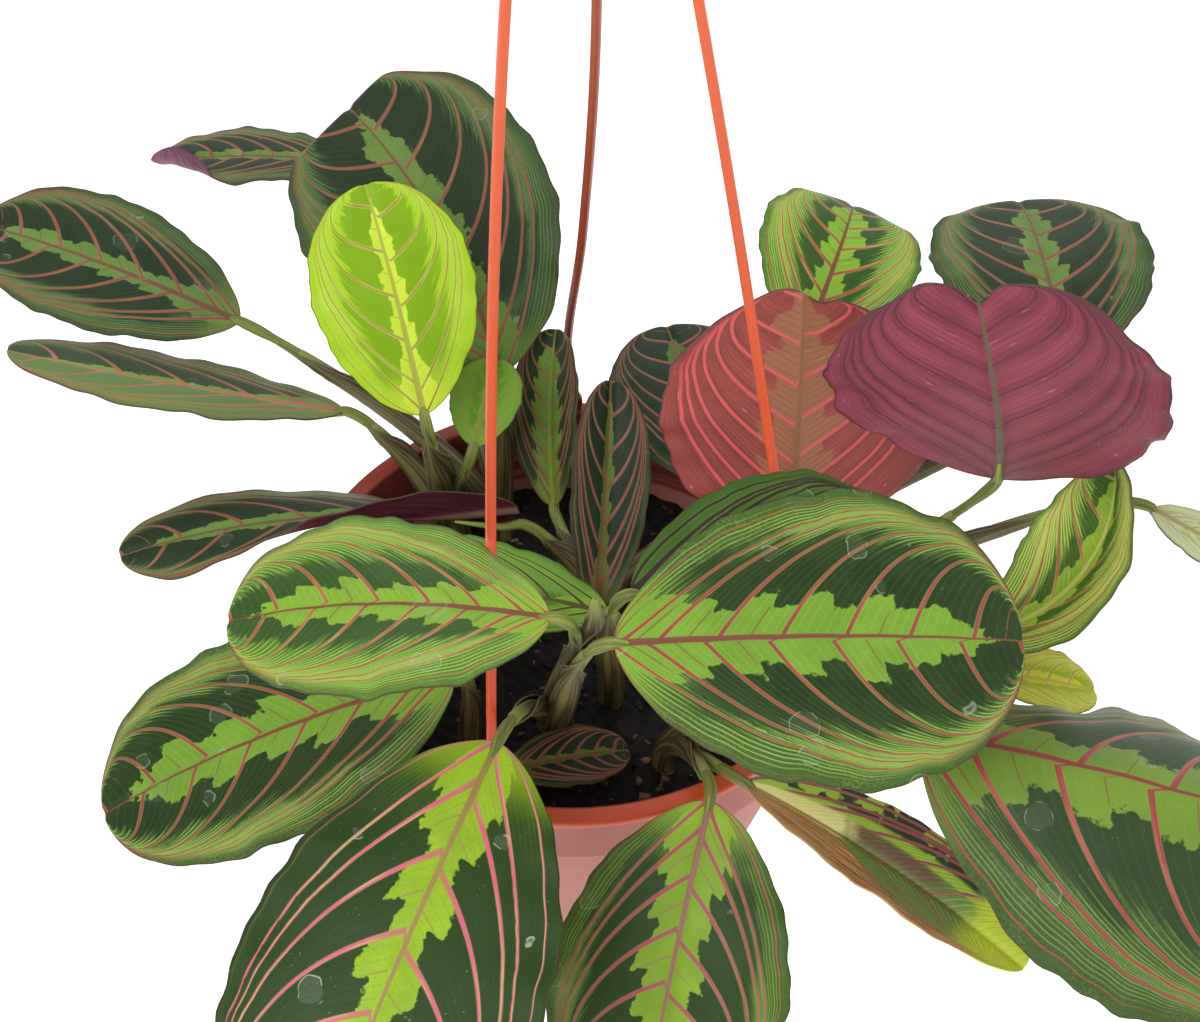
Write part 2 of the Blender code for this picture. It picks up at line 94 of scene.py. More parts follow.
STRAND_RADIUS = 1.4
STRAND_SLIM = 0.88               # the ribbed strand's radius against its solid's
STRAND_END = [(-5, 0), (-3.5, 0), (0, 0), (3, 0.4), (4.6, 2), (4.9, 5)]   # out, up
HANGER_RISE = 380
HOOK_WIRE = 2.2
HOOK_INNER = 12
HUB_RADIUS = 8
HUB_HEIGHT = 10
HUB_TOP = HANGER_RISE - 42
SOCKET_CIRCLE = 4.7
SOCKET_DEPTH = 6

SHEATH_RADIUS = 2.6
PETIOLE_RADIUS = 1.2
PULVINUS_RADIUS = 1.6
STALK_LEAVE = 0.6
STALK_ARRIVE = 0.5
STALK_LIFT = 28
BLADE_THICKNESS = 0.45
FOOT_ROUNDNESS = 0.65
TIP_ROUNDNESS = 0.5

BLADE_ROWS = 84
BLADE_COLUMNS = 56
CAP_ANGLES = (28, 55, 80)        # rings on a tube's rounded end, in degrees

# The camera looks down at the pot through a long lens.
CAMERA_LENS = 72
SENSOR_WIDTH = 36
CAMERA_PITCH = 47
CAMERA_DISTANCE = 649
RIM_IN_VIEW = (-7.0, -23.0)      # the rim's middle, right of and above the view's axis

# ------------------------------------------------------------------- layout
# The same places, sizes and bends as in the solids, but the front left strand bows
# 1 mm more, and the rolled young leaf is 0.2 mm fuller.
Strand = namedtuple("Strand", "name azimuth bow_out bow_side")
STRANDS = [
    Strand("hanger_strand_front_left", 256, 0, -5),
    Strand("hanger_strand_back", 92, 6, -8),
    Strand("hanger_strand_front_right", -40, 1, 3),
]

SHOOTS = {
    "shoot_left": (-36, 43),
    "shoot_back": (-22, 46),
    "shoot_inner": (6, 14),
    "shoot_middle": (10, -16),
    "shoot_centre": (-6, -24),
    "shoot_front_left": (-28, -36),
    "shoot_front_right": (24, -38),
    "shoot_right": (40, -18),
    "shoot_back_right": (44, 20),
}

# How wide a sheath is at its foot, against SHEATH_RADIUS, and how far its tongue
# stands past its end, as a share of the stalk.
PLAIN_SHEATH = (1.15, 0.06)
SHEATHS = {"leaf_young_lime": (2.1, 0.20), "leaf_left_edge": (1.6, 0.08),
           "leaf_left_far": (1.3, 0.08), "leaf_right_large": (1.5, 0.05),
           "leaf_left_light": (1.4, 0.05), "leaf_back_tall": (1.4, 0.08)}
SHEATH_BACK = np.array([-0.25, -1.0, 0.3])       # the way that the sheaths' backs face

# A leaf as in the plant's solids, and the look of its upper side.
LEAF_FIELDS = ("name shoot foot heading pitch roll length width look "
               "droop sway cup arch twist sheath lean")
Leaf = namedtuple("Leaf", LEAF_FIELDS, defaults=(20, 0, 6, 12, 0, 0.75, 0))
LEAVES = [
    Leaf("leaf_left_far", "shoot_back", (-95, 77, 30), 165, 20, -15, 80, 44, "dark"),
    Leaf("leaf_left_edge", "shoot_left", (-65, 56, 15), 180, 12, 20, 94, 38, "edge", -5),
    Leaf("leaf_back_left", "shoot_back", (-66, 128, 46), 174, 4, 10, 60, 34, "dark"),
    Leaf("leaf_back_tall", "shoot_back", (-20, 50, 35), 118, 55, 0, 90, 72, "dark", 40, 20),
    Leaf("leaf_young_lime", "shoot_left", (-39, 21, 48), 112, 60, 0, 62, 44, "lime"),
    Leaf("leaf_back_narrow", "shoot_inner", (-6, 33, 0), 97, 55, -40, 50, 24, "middle",
         20, 0, 20),
    Leaf("leaf_left_rolled", "shoot_inner", (-15, 22, 5), 180, 9, 40, 110, 36, "dark",
         26, 0, 6, 30, -50),
    Leaf("leaf_left_light", "shoot_centre", (-4, -80, 85), 181, 14, 6, 72, 58, "light", 30,
         lean=0.7),
    Leaf("leaf_left_lower", "shoot_front_left", (-30, -43, 20), 200, 0, 0, 94, 66, "classic", 25),
    Leaf("leaf_front_left_large", "shoot_centre", (-17, -81, 41), 246, -15, 0, 112, 75, "vivid",
         lean=0.5),
    Leaf("leaf_front", "shoot_front_right", (34, -76, 11), 254, -30, 0, 85, 60, "front", 30),
    Leaf("leaf_right_large", "shoot_centre", (10, -85, 82), -1, 6, 14, 91, 74, "classic", 15,
         lean=1),
    Leaf("leaf_right_near", "shoot_front_right", (80, -89, 56), -14, 0, 0, 112, 106, "near",
         20, 0, -20, 30),
    Leaf("leaf_dying_rolled", "shoot_front_right", (43, -69, 9), -24, -12, 0, 81, 28, "dying",
         0, -18, 22, 4),
    Leaf("leaf_right_upright", "shoot_right", (103, -27, 16), 2, 8, 35, 66, 36, "upright",
         0, 90, 35, 12, -60),
    Leaf("leaf_right_small", "shoot_right", (155, 14, 20), -40, 0, 0, 38, 18, "pale", 0),
    Leaf("leaf_purple_underside", "shoot_right", (108, -4, 50), 78, 112, 180, 76, 84, "swept",
         -30, -20),
    Leaf("leaf_salmon_underside", "shoot_back_right", (58, 5, 15), 90, 85, 180, 76, 72, "swept",
         -20),
    Leaf("leaf_behind_large", "shoot_middle", (14, -62, 72), 4, 12, 28, 62, 45, "backlit", 0,
         lean=1),
    Leaf("leaf_back_right_light", "shoot_back_right", (63, 53, 45), 60, 45, 20, 52, 46, "light",
         80),
    Leaf("leaf_back_right_dark", "shoot_back_right", (131, 38, 50), 95, 20, 0, 65, 62, "dark", 40),
    Leaf("leaf_back_centre_dark", "shoot_inner", (41, 36, 4), 105, 20, 0, 58, 46, "shaded", 20),
    Leaf("leaf_centre_narrow", "shoot_middle", (6, -7, 2), 82, 50, 20, 62, 24, "shaded",
         15, 0, 30),
    Leaf("leaf_under_left", "shoot_middle", (9, -16, 12), 170, 8, 5, 60, 34, "under", 0),
    Leaf("leaf_low_dark", "shoot_front_left", (-18, -50, -12), 15, 5, 0, 34, 20, "shaded"),
    Leaf("leaf_backlit_green", "shoot_left", (-27, 27, 30), 75, 35, 0, 26, 20, "hidden"),
    Leaf("leaf_right_translucent", "shoot_right", (106, -36, 11), 5, -10, 0, 32, 22, "glowing",
         sheath=0.4),
]

# The rolled young leaf beside the centre shoot's sheaths.
BUD_SHOOT = "shoot_centre"
BUD_ROUTE = ((1.5, -63, 55), (4.5, -70, 69), (6, -76, 80), (6, -77, 87))
BUD_RADII = (1.2, 1.8, 2.4, 0.9)


# ------------------------------------------------------------------- colours
def paint(code):
    """A six-figure colour code, as the linear colour that a shader takes."""
    parts = [int(code[i:i + 2], 16) / 255 for i in (0, 2, 4)]
    return tuple(p / 12.92 if p < 0.04045 else ((p + 0.055) / 1.055) ** 2.4 for p in parts) + (1,)


# A leaf's upper side. As shares: how far the light middle zone reaches, how deep
# the dark teeth cut into it, how far the dark patches reach, and how strong the
# pale lines are. Then its colours, its veins' width in mm and number, and how
# strong the water stains, the cream stretches of the veins and the painted light
# on the left half are. sweep is how far the veins sweep towards the tip.
LOOK_FIELDS = ("zone tooth dark_end lines zone_colour dark mid pale vein rib vein_width count "
               "stain cream lit sweep")
Look = namedtuple("Look", LOOK_FIELDS,
                  defaults=("ac484a", "84503c", 1.0, 6.4, 0.5, 0.12, 0, 0.42))
LOOKS = {
    "classic": Look(0.27, 0.42, 0.60, 0.75, "84b432", "1c3210", "4a6a28", "a2c45c"),
    "near": Look(0.22, 0.44, 0.50, 0.7, "82a634", "2c4220", "485f2c", "86a44e",
                 "b0444a", "8c4440", 1.6, 5.2, 0.5, 0.12, 0, 0.28),
    "light": Look(0.24, 0.40, 0.42, 0.75, "8cbc2c", "2a4a1a", "5c8630", "aed25a",
                  "c04e4a", "84503c", 0.9, 6.4, 0.6, 0.4),
    "upright": Look(0.20, 0.40, 0.34, 1.2, "a8cc38", "3a5e20", "6c9a34", "ccdf6c",
                    "c05a54", "c8d070", 0.8, 5.2, 0.1, 0.5, 0, 0.6),
    "vivid": Look(0.19, 0.56, 0.98, 0.14, "b8e02c", "284214", "3c5a1e", "84a84c",
                  "ea6c84", "a89054", 1.4, 5.6, 1, 0.6),
    "front": Look(0.28, 0.42, 0.66, 0.5, "a0cc30", "264016", "4c6c24", "96b854",
                  "bc5a62", "a8786a", 1.2, 6.4, 0.4, 0.1),
    "dark": Look(0.17, 0.40, 0.60, 0.5, "74983c", "22301c", "405a30", "7a9a54",
                 "a44e48", "7c5a40", 1.0, 6.4, 0.4),
    "edge": Look(0.10, 0.35, 0.45, 0.4, "86ac48", "34482a", "4c6a30", "84a45a",
                 "bc6458", "d07a66", 1.2, 5.2, 0.2, 0.1, 0.8),
    "shaded": Look(0.14, 0.35, 0.80, 0.3, "6c9034", "202e1c", "344c28", "5c7a44",
                   "a4504c", "7c6038", 0.9, 6.4, 0.1),
    "glowing": Look(0.2, 0.3, 0.3, 0.6, "c8d428", "98ac20", "b0c024", "d8dc60",
                    "b08c58", "c0b050", 0.6, 5.0, 0.1, 0.4),
    "lime": Look(0.13, 0.40, 0.52, 0.25, "dcf03c", "7aa808", "b0dc18", "dcf070",
                 "a88440", "b4b848", 0.7, 5.2, 0.1, 0.6),
    "backlit": Look(0.05, 0.30, 0.30, 0.3, "4e7c1c", "26400e", "3c6212", "5c8a2c",
                    "36261a", "44401e", 2.0, 6.4, 0.6, 0, 0, 0.2),
    "middle": Look(0.40, 0.30, 0.90, 0.3, "84ac34", "26381c", "3c5428", "6c8a48",
                   "a4504c", "8ca044", 0.8, 6.4, 0.1),
    # Painted light: the flat bright greens of a mostly hidden blade lit through from behind.
    "hidden": Look(0.10, 0.30, 0.30, 0.3, "74a828", "5c8c1c", "689c24", "88b444",
                   "8c7c3c", "8c9440", 0.5, 5.2, 0.1, 0),
    "under": Look(0.05, 0.30, 0.10, 0.45, "84b42c", "44701c", "64982a", "94bc48",
                  "4c3a20", "5c5426", 0.9, 5.6, 0.2, 0),
    "pale": Look(0.4, 0.3, 0.4, 0.5, "c0d084", "a8bc6c", "bccc8c", "d8e4b4",
                 "c09a8c", "b0a070", 0.5, 5.6, 0),
    "dying": Look(0.3, 0.3, 0.5, 0.8, "c8d878", "88a848", "98b858", "d8dc98",
                  "8c5a3c", "a88450", 0.6, 5.6, 0, 0.5),
    "swept": Look(0.3, 0.3, 0.5, 0.5, "7a9c48", "2c382a", "48603e", "86a266",
                  "a8544c", "806048", 1.0, 6.5, 0.4, 0, 0, 0.62),
}

# What all the blades' finishes share.
VEIN_CREAM = "d8c884"
MARGIN = "5c3c3a"
STAIN = "c8d8bc"
SPECK = "dce4cc"
UNDER_LINE = "4a2630"
UNDER_MARGIN = "4a2c34"
SCUFF = "d8bcc0"
LINES = 6                        # fine lines for each lateral vein
WARP = (0.0035,) * 3             # how far noise bends the water stains, in metres

# Lobes at a blade's far end: place across it, reach and height, in mm.
LOBES = {
    "leaf_purple_underside": [(0, 4, -4), (-14, 8, 4), (20, 14, 3), (-30, 6, 1.5)],
    "leaf_salmon_underside": [(-6, 8, 2), (4, 3, -2)],
}

# Where a blade is bent back on itself: the line's place along and across it,
# the way its far side lies from the tip's way in degrees, the bend's radius in
# mm, and its angle, which is over the upper side where it is positive.
Fold = namedtuple("Fold", "along across way radius angle")
FOLDS = {
    "leaf_back_tall": Fold(0.93, 0.0, 8, 2.5, -160),
    "leaf_back_left": Fold(0.76, 0.45, 62, 2.2, 130),
    "leaf_left_rolled": Fold(0.30, 0.0, 100, 4, 62),
}


# ------------------------------------------------------------------- shading
class Field:
    """A socket's value, which adds, subtracts, multiplies and divides as a number does."""

    def __init__(self, socket):
        self.socket = socket

    def __add__(self, other):
        return calculate("ADD", self, other)

    def __sub__(self, other):
        return calculate("SUBTRACT", self, other)

    def __rsub__(self, other):
        return calculate("SUBTRACT", other, self)

    def __mul__(self, other):
        return calculate("MULTIPLY", self, other)

    def __truediv__(self, other):
        return calculate("DIVIDE", self, other)

    def __abs__(self):
        return calculate("ABSOLUTE", self)


def connect(slot, value):
    """Links a field to the slot, or sets a number, a vector or a colour code on it."""
    if isinstance(value, Field):
        slot.id_data.links.new(value.socket, slot)
    elif isinstance(value, str):
        slot.default_value = paint(value)
    else:
        slot.default_value = value


def add_node(tree, kind, **inputs):
    """A shader node, with fields or numbers on the inputs that are named."""
    node = tree.nodes.new("ShaderNode" + kind)
    for name, value in inputs.items():
        connect(node.inputs[name.replace("_", " ")], value)
    return node


def calculate(operation, *values):
    """A Math node's result."""
    tree = next(value.socket.id_data for value in values if isinstance(value, Field))
    node = add_node(tree, "Math")
    node.operation = operation
    for slot, value in zip(node.inputs, values):
        connect(slot, value)
    return Field(node.outputs[0])


def fraction(value):
    return calculate("FRACT", value)


def rise(value, low, high):
    """0 where value is under low, 1 over high, and smooth between them."""
    node = add_node(value.socket.id_data, "MapRange", Value=value, From_Min=low, From_Max=high)
    node.interpolation_type = "SMOOTHSTEP"
    return Field(node.outputs["Result"])


def fall(value, low, high):
    return 1 - rise(value, low, high)


def blend(share, first, second):
    """The first colour at share 0, and the second at share 1."""
    node = add_node(share.socket.id_data, "Mix")
    node.data_type = "RGBA"
    factor, colour_a, colour_b = (node.inputs[i] for i in (0, 6, 7))
    connect(factor, share)
    connect(colour_a, first)
    connect(colour_b, second)
    return Field(node.outputs[2])


def under(value, limit, soft):
    """1 where value is under the limit and 0 over it, smooth within soft of it."""
    return fall(value, limit - soft, limit + soft)


def layered(colour, *layers):
    """The colour with pairs of a share and a colour laid over it in turn."""
    for share, over in layers:
        colour = blend(share, colour, over)
    return colour


def vector(tree, x, y, z):
    return Field(add_node(tree, "CombineXYZ", X=x, Y=y, Z=z).outputs[0])


def components(value, kind="XYZ"):
    """The three fields of a vector, or of a colour where kind is Color."""
    node = add_node(value.socket.id_data, "Separate" + kind)
    connect(node.inputs[0], value)
    return [Field(output) for output in node.outputs]


def noise(where, scale, detail=2):
    tree = where.socket.id_data
    return Field(add_node(tree, "TexNoise", Vector=where, Scale=scale, Detail=detail)
                 .outputs["Fac"])


def attributes(tree, names):
    """The mesh's attributes that the names list, as fields."""
    fields = []
    for name in names.split():
        node = add_node(tree, "Attribute")
        node.attribute_name = name
        fields.append(Field(node.outputs["Fac"]))
    return fields


def new_finish(name):
    """A material, its tree and a field of the place in the object."""
    material = bpy.data.materials.new(name)
    material.use_nodes = True
    tree = material.node_tree
    return material, tree, Field(add_node(tree, "TexCoord").outputs["Object"])


def finished(material, colour, roughness, relief, depth, strength, specular=0.5):
    """Sets the surface. The bump is relief, from 0 to 1, times depth, in metres."""
    tree = material.node_tree
    bump = add_node(tree, "Bump", Height=relief, Distance=depth, Strength=strength)
    shader = tree.nodes["Principled BSDF"]
    connect(shader.inputs["Base Color"], colour)
    connect(shader.inputs["Roughness"], roughness)
    connect(shader.inputs["Specular IOR Level"], specular)
    connect(shader.inputs["Normal"], Field(bump.outputs[0]))
    return material


def from_whole(number, pitch):
    """How far a point is from where the number is whole, in mm. pitch is mm for each 1."""
    return (0.5 - abs(fraction(number) - 0.5)) * pitch


def water_stains(spot):
    """Thin broken rings where drops have dried, and the faint discs inside them."""
    tree = spot.socket.id_data
    warp = add_node(tree, "TexNoise", Vector=spot, Scale=160)
    bent = add_node(tree, "VectorMath")
    bent.operation = "MULTIPLY_ADD"
    for slot, value in zip(bent.inputs, (Field(warp.outputs["Color"]), WARP, spot)):
        connect(slot, value)
    cells = add_node(tree, "TexVoronoi", Vector=Field(bent.outputs[0]), Scale=72)
    away = Field(cells.outputs["Distance"])
    size, chance, _ = components(Field(cells.outputs["Color"]), "Color")
    radius = size * 0.2 + 0.08
    there = rise(chance, 0.25, 0.3)
    broken = rise(noise(spot, 260, 1), 0.46, 0.54)
    return (fall(abs(away - radius), 0.004, 0.014) * there * broken,
            fall(away, radius - 0.02, radius) * there)


def leaf_upper(name, look, seed):
    """Light middle zone with dark teeth, dark patches, pale lines and rose veins.

    Shares run from 0 at the midrib to 1 at the margin, or from foot to tip.
    """
    material, tree, spot = new_finish(name)
    across, vein, pitch, rib, edge, along, side = attributes(
        tree, "across vein pitch rib edge along side")
    grain = noise(spot, 1500, 3)
    cloud = noise(spot, 90)
    ragged = noise(spot, 420) - 0.5
    between = fraction(vein)
    number = calculate("FLOOR", vein)
    streak = noise(vector(tree, vein * 16, across * 3, seed), 1, 3)
    vary = noise(vector(tree, number * 3.7, seed * 5.1, side * 0.9), 1, 0)

    outer = between * 0.16 + 1 - rise(between, 0.40, 0.60) * look.tooth
    reach = outer * (vary * 0.8 + 0.6) * look.zone + ragged * 0.14
    reach = (reach + fall(along, 0.03, 0.30) * 0.4) * fall(along + ragged * 0.2, 0.82, 0.94)
    dark_end = between * 0.16 + (streak - 0.5) * 0.6 + (cloud - 0.5) * 0.3 + look.dark_end
    # Painted light: lit lightens the left half of the blade and thins its dark patches.
    lit = rise(side, -0.1, 0.1) * look.lit
    dark_share = fall(across, dark_end - 0.08, dark_end + 0.05)
    dark_share = dark_share * rise(along + (cloud - 0.5) * 0.3, 0.08, 0.26) * (1 - lit)

    line = fall(from_whole(vein * LINES, pitch / LINES), 0.10, 0.24) * rise(streak, 0.30, 0.46)
    line_share = line * fall(across, 0.86, 0.97) * look.lines
    stipple = rise(grain, 0.46, 0.62) * rise(cloud, 0.3, 0.7)
    mid = layered(look.mid, (stipple * 0.35 * look.lines, look.pale), (cloud * 0.25, look.dark),
                  (line_share, look.pale))
    dark = layered(look.dark, (cloud * 0.3, look.mid), (line_share * 0.05, look.pale))
    zone = layered(look.zone_colour, (rise(grain, 0.35, 0.65) * 0.22, look.pale),
                   (cloud * 0.55, look.mid), (line * 0.25, look.pale))

    from_vein = from_whole(vein, pitch)
    half_vein = (1.2 - across) * look.vein_width * 0.42
    halo = fall(from_vein, half_vein, half_vein + 0.35) * 0.4 * fall(across, 0.7, 0.95)
    creamy = rise(noise(vector(tree, number * 2.3 + across * 2.4, seed, side), 1, 1), 0.5, 0.66)
    vein_colour = layered(look.vein, (creamy * look.cream, VEIN_CREAM),
                          (fall(across, 0.02, 0.3) * 0.55, look.rib))
    veins = under(from_vein, half_vein, 0.1) * fall(across, 0.88, 0.99)
    small_veins = fall(abs(between - 0.5) * pitch, 0.05, 0.28) * fall(across, reach * 0.7, reach)

    rings, discs = water_stains(spot)
    specks = rise(noise(spot, 1900, 1), 0.76, 0.8) * look.stain
    body = layered(
        mid,
        (dark_share, dark),
        (under(across, reach, 0.010), zone),
        (lit * 0.45, look.zone_colour),
        (fall(along, 0.02, 0.16) * 0.6, look.zone_colour),
        (halo, look.pale),
        (veins, vein_colour),
        (small_veins * rise(vary, 0.42, 0.5) * 0.8, look.rib),
        (under(rib, (1.25 - along) * 0.72, 0.15), look.rib),
        (fall(edge, 0.12, 0.4) * 0.75, MARGIN),
        (rings * look.stain * 0.6, STAIN),
        (discs * look.stain * 0.08, STAIN),
        (specks * 0.5, SPECK))
    relief = grain * 0.35 + line * 0.4 + cloud * 0.5 + rings * 0.3
    return finished(material, body, grain * 0.16 + 0.36 + rings * 0.2, relief, 0.0003, 0.4,
                    specular=0.24)


def dying_upper(name):
    """A half-dry blade: brown fibres at its right margin, cream and green, and a lime tip."""
    material, tree, spot = new_finish(name)
    across, vein, pitch, rib, along, side = attributes(tree, "across vein pitch rib along side")
    grain = noise(spot, 1500, 3)
    cloud = noise(spot, 120)
    ragged = (noise(spot, 320, 3) - 0.5) * 0.3
    fibre = noise(vector(tree, side * 34, along * 6, 0.3), 1, 4)

    stripe = rise(abs(fraction(vein * LINES) - 0.5), 0.24, 0.46)
    from_vein = from_whole(vein, pitch)
    patches = rise(cloud + ragged, 0.46, 0.50) * rise(across, 0.5, 0.6)
    left = layered("a8d040", (patches, "2c4424"), (fall(from_vein, 0.3, 0.5), "a8605c"))
    shadow = rise(side, 0.0, 0.14) * fall(side, 0.30, 0.42) * rise(along, 0.26, 0.38)
    shadow = shadow * fall(along, 0.60, 0.74)
    cream = rise(side, -0.22, -0.12) * fall(side, 0.34, 0.44)
    cream = cream * fall(along + ragged * 0.4, 0.30, 0.38)
    limit = ragged * 0.4 - 0.10 - rise(along, 0.26, 0.60) * 0.74
    dry = under(side, limit, 0.04) * fall(along, 0.80, 0.92)
    brown = blend(rise(fibre, 0.34, 0.66), "9c6a30", "ecc080")
    body = layered(
        "6c963c",
        (stripe * 0.5, "c0d884"),
        (cloud * 0.5, "7c9c44"),
        (fall(from_vein, 0.25, 0.45) * 0.8, "b8785a"),
        (rise(side + ragged * 0.3, 0.34, 0.40), left),
        (shadow * (fibre * 0.5 + 0.6), "7a5644"),
        (cream, blend(cloud, "fcf4ac", "dce870")),
        (rise(along + ragged * 0.2, 0.74, 0.84), blend(cloud, "e4f050", "c4e430")),
        (dry, blend(grain * 0.4, brown, "b47c3c")),
        (fall(rib, 0.25, 0.45) * fall(along, 0.7, 0.8) * 0.7, "8c4c40"))
    return finished(material, body, grain * 0.2 + 0.4 + dry * 0.2,
                    fibre * dry + stripe * 0.3 + grain * 0.2, 0.0006, 0.6)


def leaf_lower(name, low, high, zone_colour, zone, vein_colour, vein_width, rib_colour):
    """The underside: painted highlights, from low towards high, in bands between fine veins, with
    random streaks and clouds of tone, and a leafy middle zone.
    """
    material, tree, spot = new_finish(name)
    across, vein, pitch, rib, edge, along = attributes(tree, "across vein pitch rib edge along")
    grain = noise(spot, 1200, 3)
    cloud = noise(spot, 60)
    ragged = noise(spot, 300) - 0.5
    between = fraction(vein)
    streak = noise(vector(tree, vein * 12, across * 2, 0.7), 1, 3)

    # Painted highlight: a lighter band between each pair of veins, plus random streaks and clouds
    # of tone.
    hump = rise(between, 0.05, 0.45) * fall(between, 0.5, 0.95)
    painted_sheen_and_tone = hump * 0.3 + rise(streak, 0.3, 0.7) * 0.25 + (cloud - 0.35) * 0.7
    reach = (1 - rise(between, 0.40, 0.60) * 0.4) * zone + ragged * 0.15
    from_line = from_whole(vein * LINES, pitch / LINES)
    from_vein = from_whole(vein, pitch)
    scuff = rise(noise(vector(tree, along * 34, vein * 9, 0.2), 1), 0.70, 0.76)
    body = layered(
        low,
        (painted_sheen_and_tone, high),
        (under(across, reach, 0.02) * 0.8, zone_colour),
        (fall(from_line, 0.03, 0.13) * 0.4, UNDER_LINE),
        (under(from_vein, vein_width / 2, 0.12) * fall(across, 0.85, 0.98), vein_colour),
        (under(rib, (1.3 - along) * 0.9, 0.2), rib_colour),
        (scuff * 0.3, SCUFF),
        (fall(edge, 0.2, 0.6) * 0.6, UNDER_MARGIN))
    relief = grain * 0.3 + fall(from_line, 0.03, 0.25) * 0.4 + fall(from_vein, 0.1, 0.8) * 0.6
    return finished(material, body, grain * 0.15 + 0.45, relief, 0.0004, 0.4)


def stem_finish(name, low, high, tip):
    """Lengthwise stripes, from the colour at the foot to the one at the tip."""
    material, tree, spot = new_finish(name)
    along, around = attributes(tree, "along around")
    stripe = noise(vector(tree, around * 9, along * 2, 0.4), 1, 3)
    grain = noise(spot, 900, 3)
    body = layered(low, (rise(stripe, 0.38, 0.62), high), (grain * 0.3, low),
                   (rise(along, 0.72, 0.92), tip))
    return finished(material, body, grain * 0.2 + 0.4, stripe * 0.7 + grain * 0.3, 0.0003, 0.5)


def pot_finish():
    """Matte terracotta plastic, whose lip is brighter, with faint rings and scuffs, and painted
    shade on the inner wall and on the back of the lip.
    """
    material, _, spot = new_finish("terracotta_plastic")
    right, back, height = components(spot)
    radius = calculate("SQRT", right * right + back * back)
    cloud = noise(spot, 40, 3)
    grain = noise(spot, 2200, 3)
    wall = RIM_RADIUS - LIP_WIDTH - WALL / 2
    # Painted shade: the inner wall above the soil is darker.
    inside = fall(radius, (wall - 0.3) * MM, (wall + 0.3) * MM)
    inside = inside * rise(height, RIM_LEVEL - 21.5 * MM, RIM_LEVEL - 20.5 * MM)
    lip = rise(height, RIM_LEVEL - (LIP_DEPTH + 0.4) * MM, RIM_LEVEL - (LIP_DEPTH - 0.2) * MM)
    lip = lip * rise(radius, (wall - 0.4) * MM, (wall + 0.2) * MM)
    # Painted shade: the lip darkens towards the back.
    bright = blend(rise(back, 0.0, 45 * MM), "dc5a32", "9c3c28")
    body = layered("b06656", (cloud, "be7e70"), (rise(grain, 0.55, 0.75) * 0.3, "d0a090"),
                   (inside, "8a3c2c"), (lip, bright))
    rings = calculate("SINE", height * 2400)
    return finished(material, body, 0.62 - lip * 0.22 + grain * 0.1, grain * 0.5 + rings * 0.06,
                    0.0002, 0.4)


def plastic_finish(name, low, high):
    """Satin plastic whose colour drifts with height, with a fine grain."""
    material, _, spot = new_finish(name)
    height = components(spot)[2]
    grain = noise(spot, 1500, 3)
    body = layered(low, (rise(height, RIM_LEVEL, RIM_LEVEL + 250 * MM), high),
                   (noise(spot, 50) * 0.3, high))
    return finished(material, body, grain * 0.15 + 0.3, grain, 0.0001, 0.3)


def soil_finish():
    """Damp dark peat."""
    material, _, spot = new_finish("peat")
    lump = noise(spot, 260, 4)
    grain = noise(spot, 1600, 4)
    body = layered("0c0a08", (rise(lump, 0.4, 0.7), "1e1712"),
                   (rise(grain, 0.64, 0.76) * 0.6, "4c382a"))
    return finished(material, body, 1.0 - lump * 0.3, lump * 0.5 + grain * 0.5, 0.0015, 0.8)


def bark_finish():
    """Bits of bark and coir, each of its own brown."""
    material, tree, spot = new_finish("bark_bits")
    each, = attributes(tree, "shade")
    grain = noise(spot, 1200, 3)
    body = layered("1a1310", (each, "a07c58"), (grain * 0.4, "2c2019"))
    return finished(material, body, 0.85, grain, 0.0004, 0.6)


# ------------------------------------------------------------------ surfaces
# A surface: its points in mm, its faces, its points' attributes, and which of the
# piece's finishes it has, for all its faces or for each.
Shell = namedtuple("Shell", "points faces layers tint", defaults=({}, 0))


def place(points):
    """Pot-frame millimetres to metres in the shared frame."""
    return np.asarray(points, float) * MM + np.array([0, 0, RIM_LEVEL])


def unit(vectors):
    """Vectors along the last axis, each at length 1."""
    return vectors / np.maximum(np.linalg.norm(vectors, axis=-1, keepdims=True), 1e-9)


def grid_faces(rows, columns, wrap=False):
    """Quads of a grid of rows by columns points, which may close round its columns."""
    index = np.arange(rows * columns).reshape(rows, columns)
    if wrap:
        index = np.hstack([index, index[:, :1]])
    return np.stack([index[:-1, :-1], index[1:, :-1], index[1:, 1:], index[:-1, 1:]],
                    axis=-1).reshape(-1, 4)


def add_piece(name, shells, finishes, nodes=()):
    """A mesh of shells at its place in the shared frame, which rides on the one body."""
    points, faces, layers, tint = join_shells(shells)
    mesh = bpy.data.meshes.new(name)
    mesh.from_pydata(place(points).tolist(), [], [face.tolist() for face in faces])
    for key, values in layers.items():
        layer = mesh.attributes.new(key, "FLOAT", "POINT")
        layer.data.foreach_set("value", np.asarray(values, np.float32))
    for finish in finishes:
        mesh.materials.append(finish)
    mesh.polygons.foreach_set("material_index", np.asarray(tint, np.int32))
    mesh.polygons.foreach_set("use_smooth", np.ones(len(mesh.polygons), bool))
    piece = bpy.data.objects.new(name, mesh)
    bpy.context.scene.collection.objects.link(piece)
    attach(piece, "root")
    if nodes:
        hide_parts(*nodes)
    return piece


def join_shells(shells):
    """Several shells as one. An attribute that a shell lacks is 0 there."""
    points = np.vstack([shell.points for shell in shells])
    offsets = np.cumsum([0] + [len(shell.points) for shell in shells[:-1]])
    faces = [face + offset for shell, offset in zip(shells, offsets) for face in shell.faces]
    keys = sorted({key for shell in shells for key in shell.layers})
    layers = {key: np.concatenate([shell.layers.get(key, np.zeros(len(shell.points)))
                                   for shell in shells]) for key in keys}
    tint = np.concatenate([np.broadcast_to(shell.tint, len(shell.faces)) for shell in shells])
    return Shell(points, faces, layers, tint)


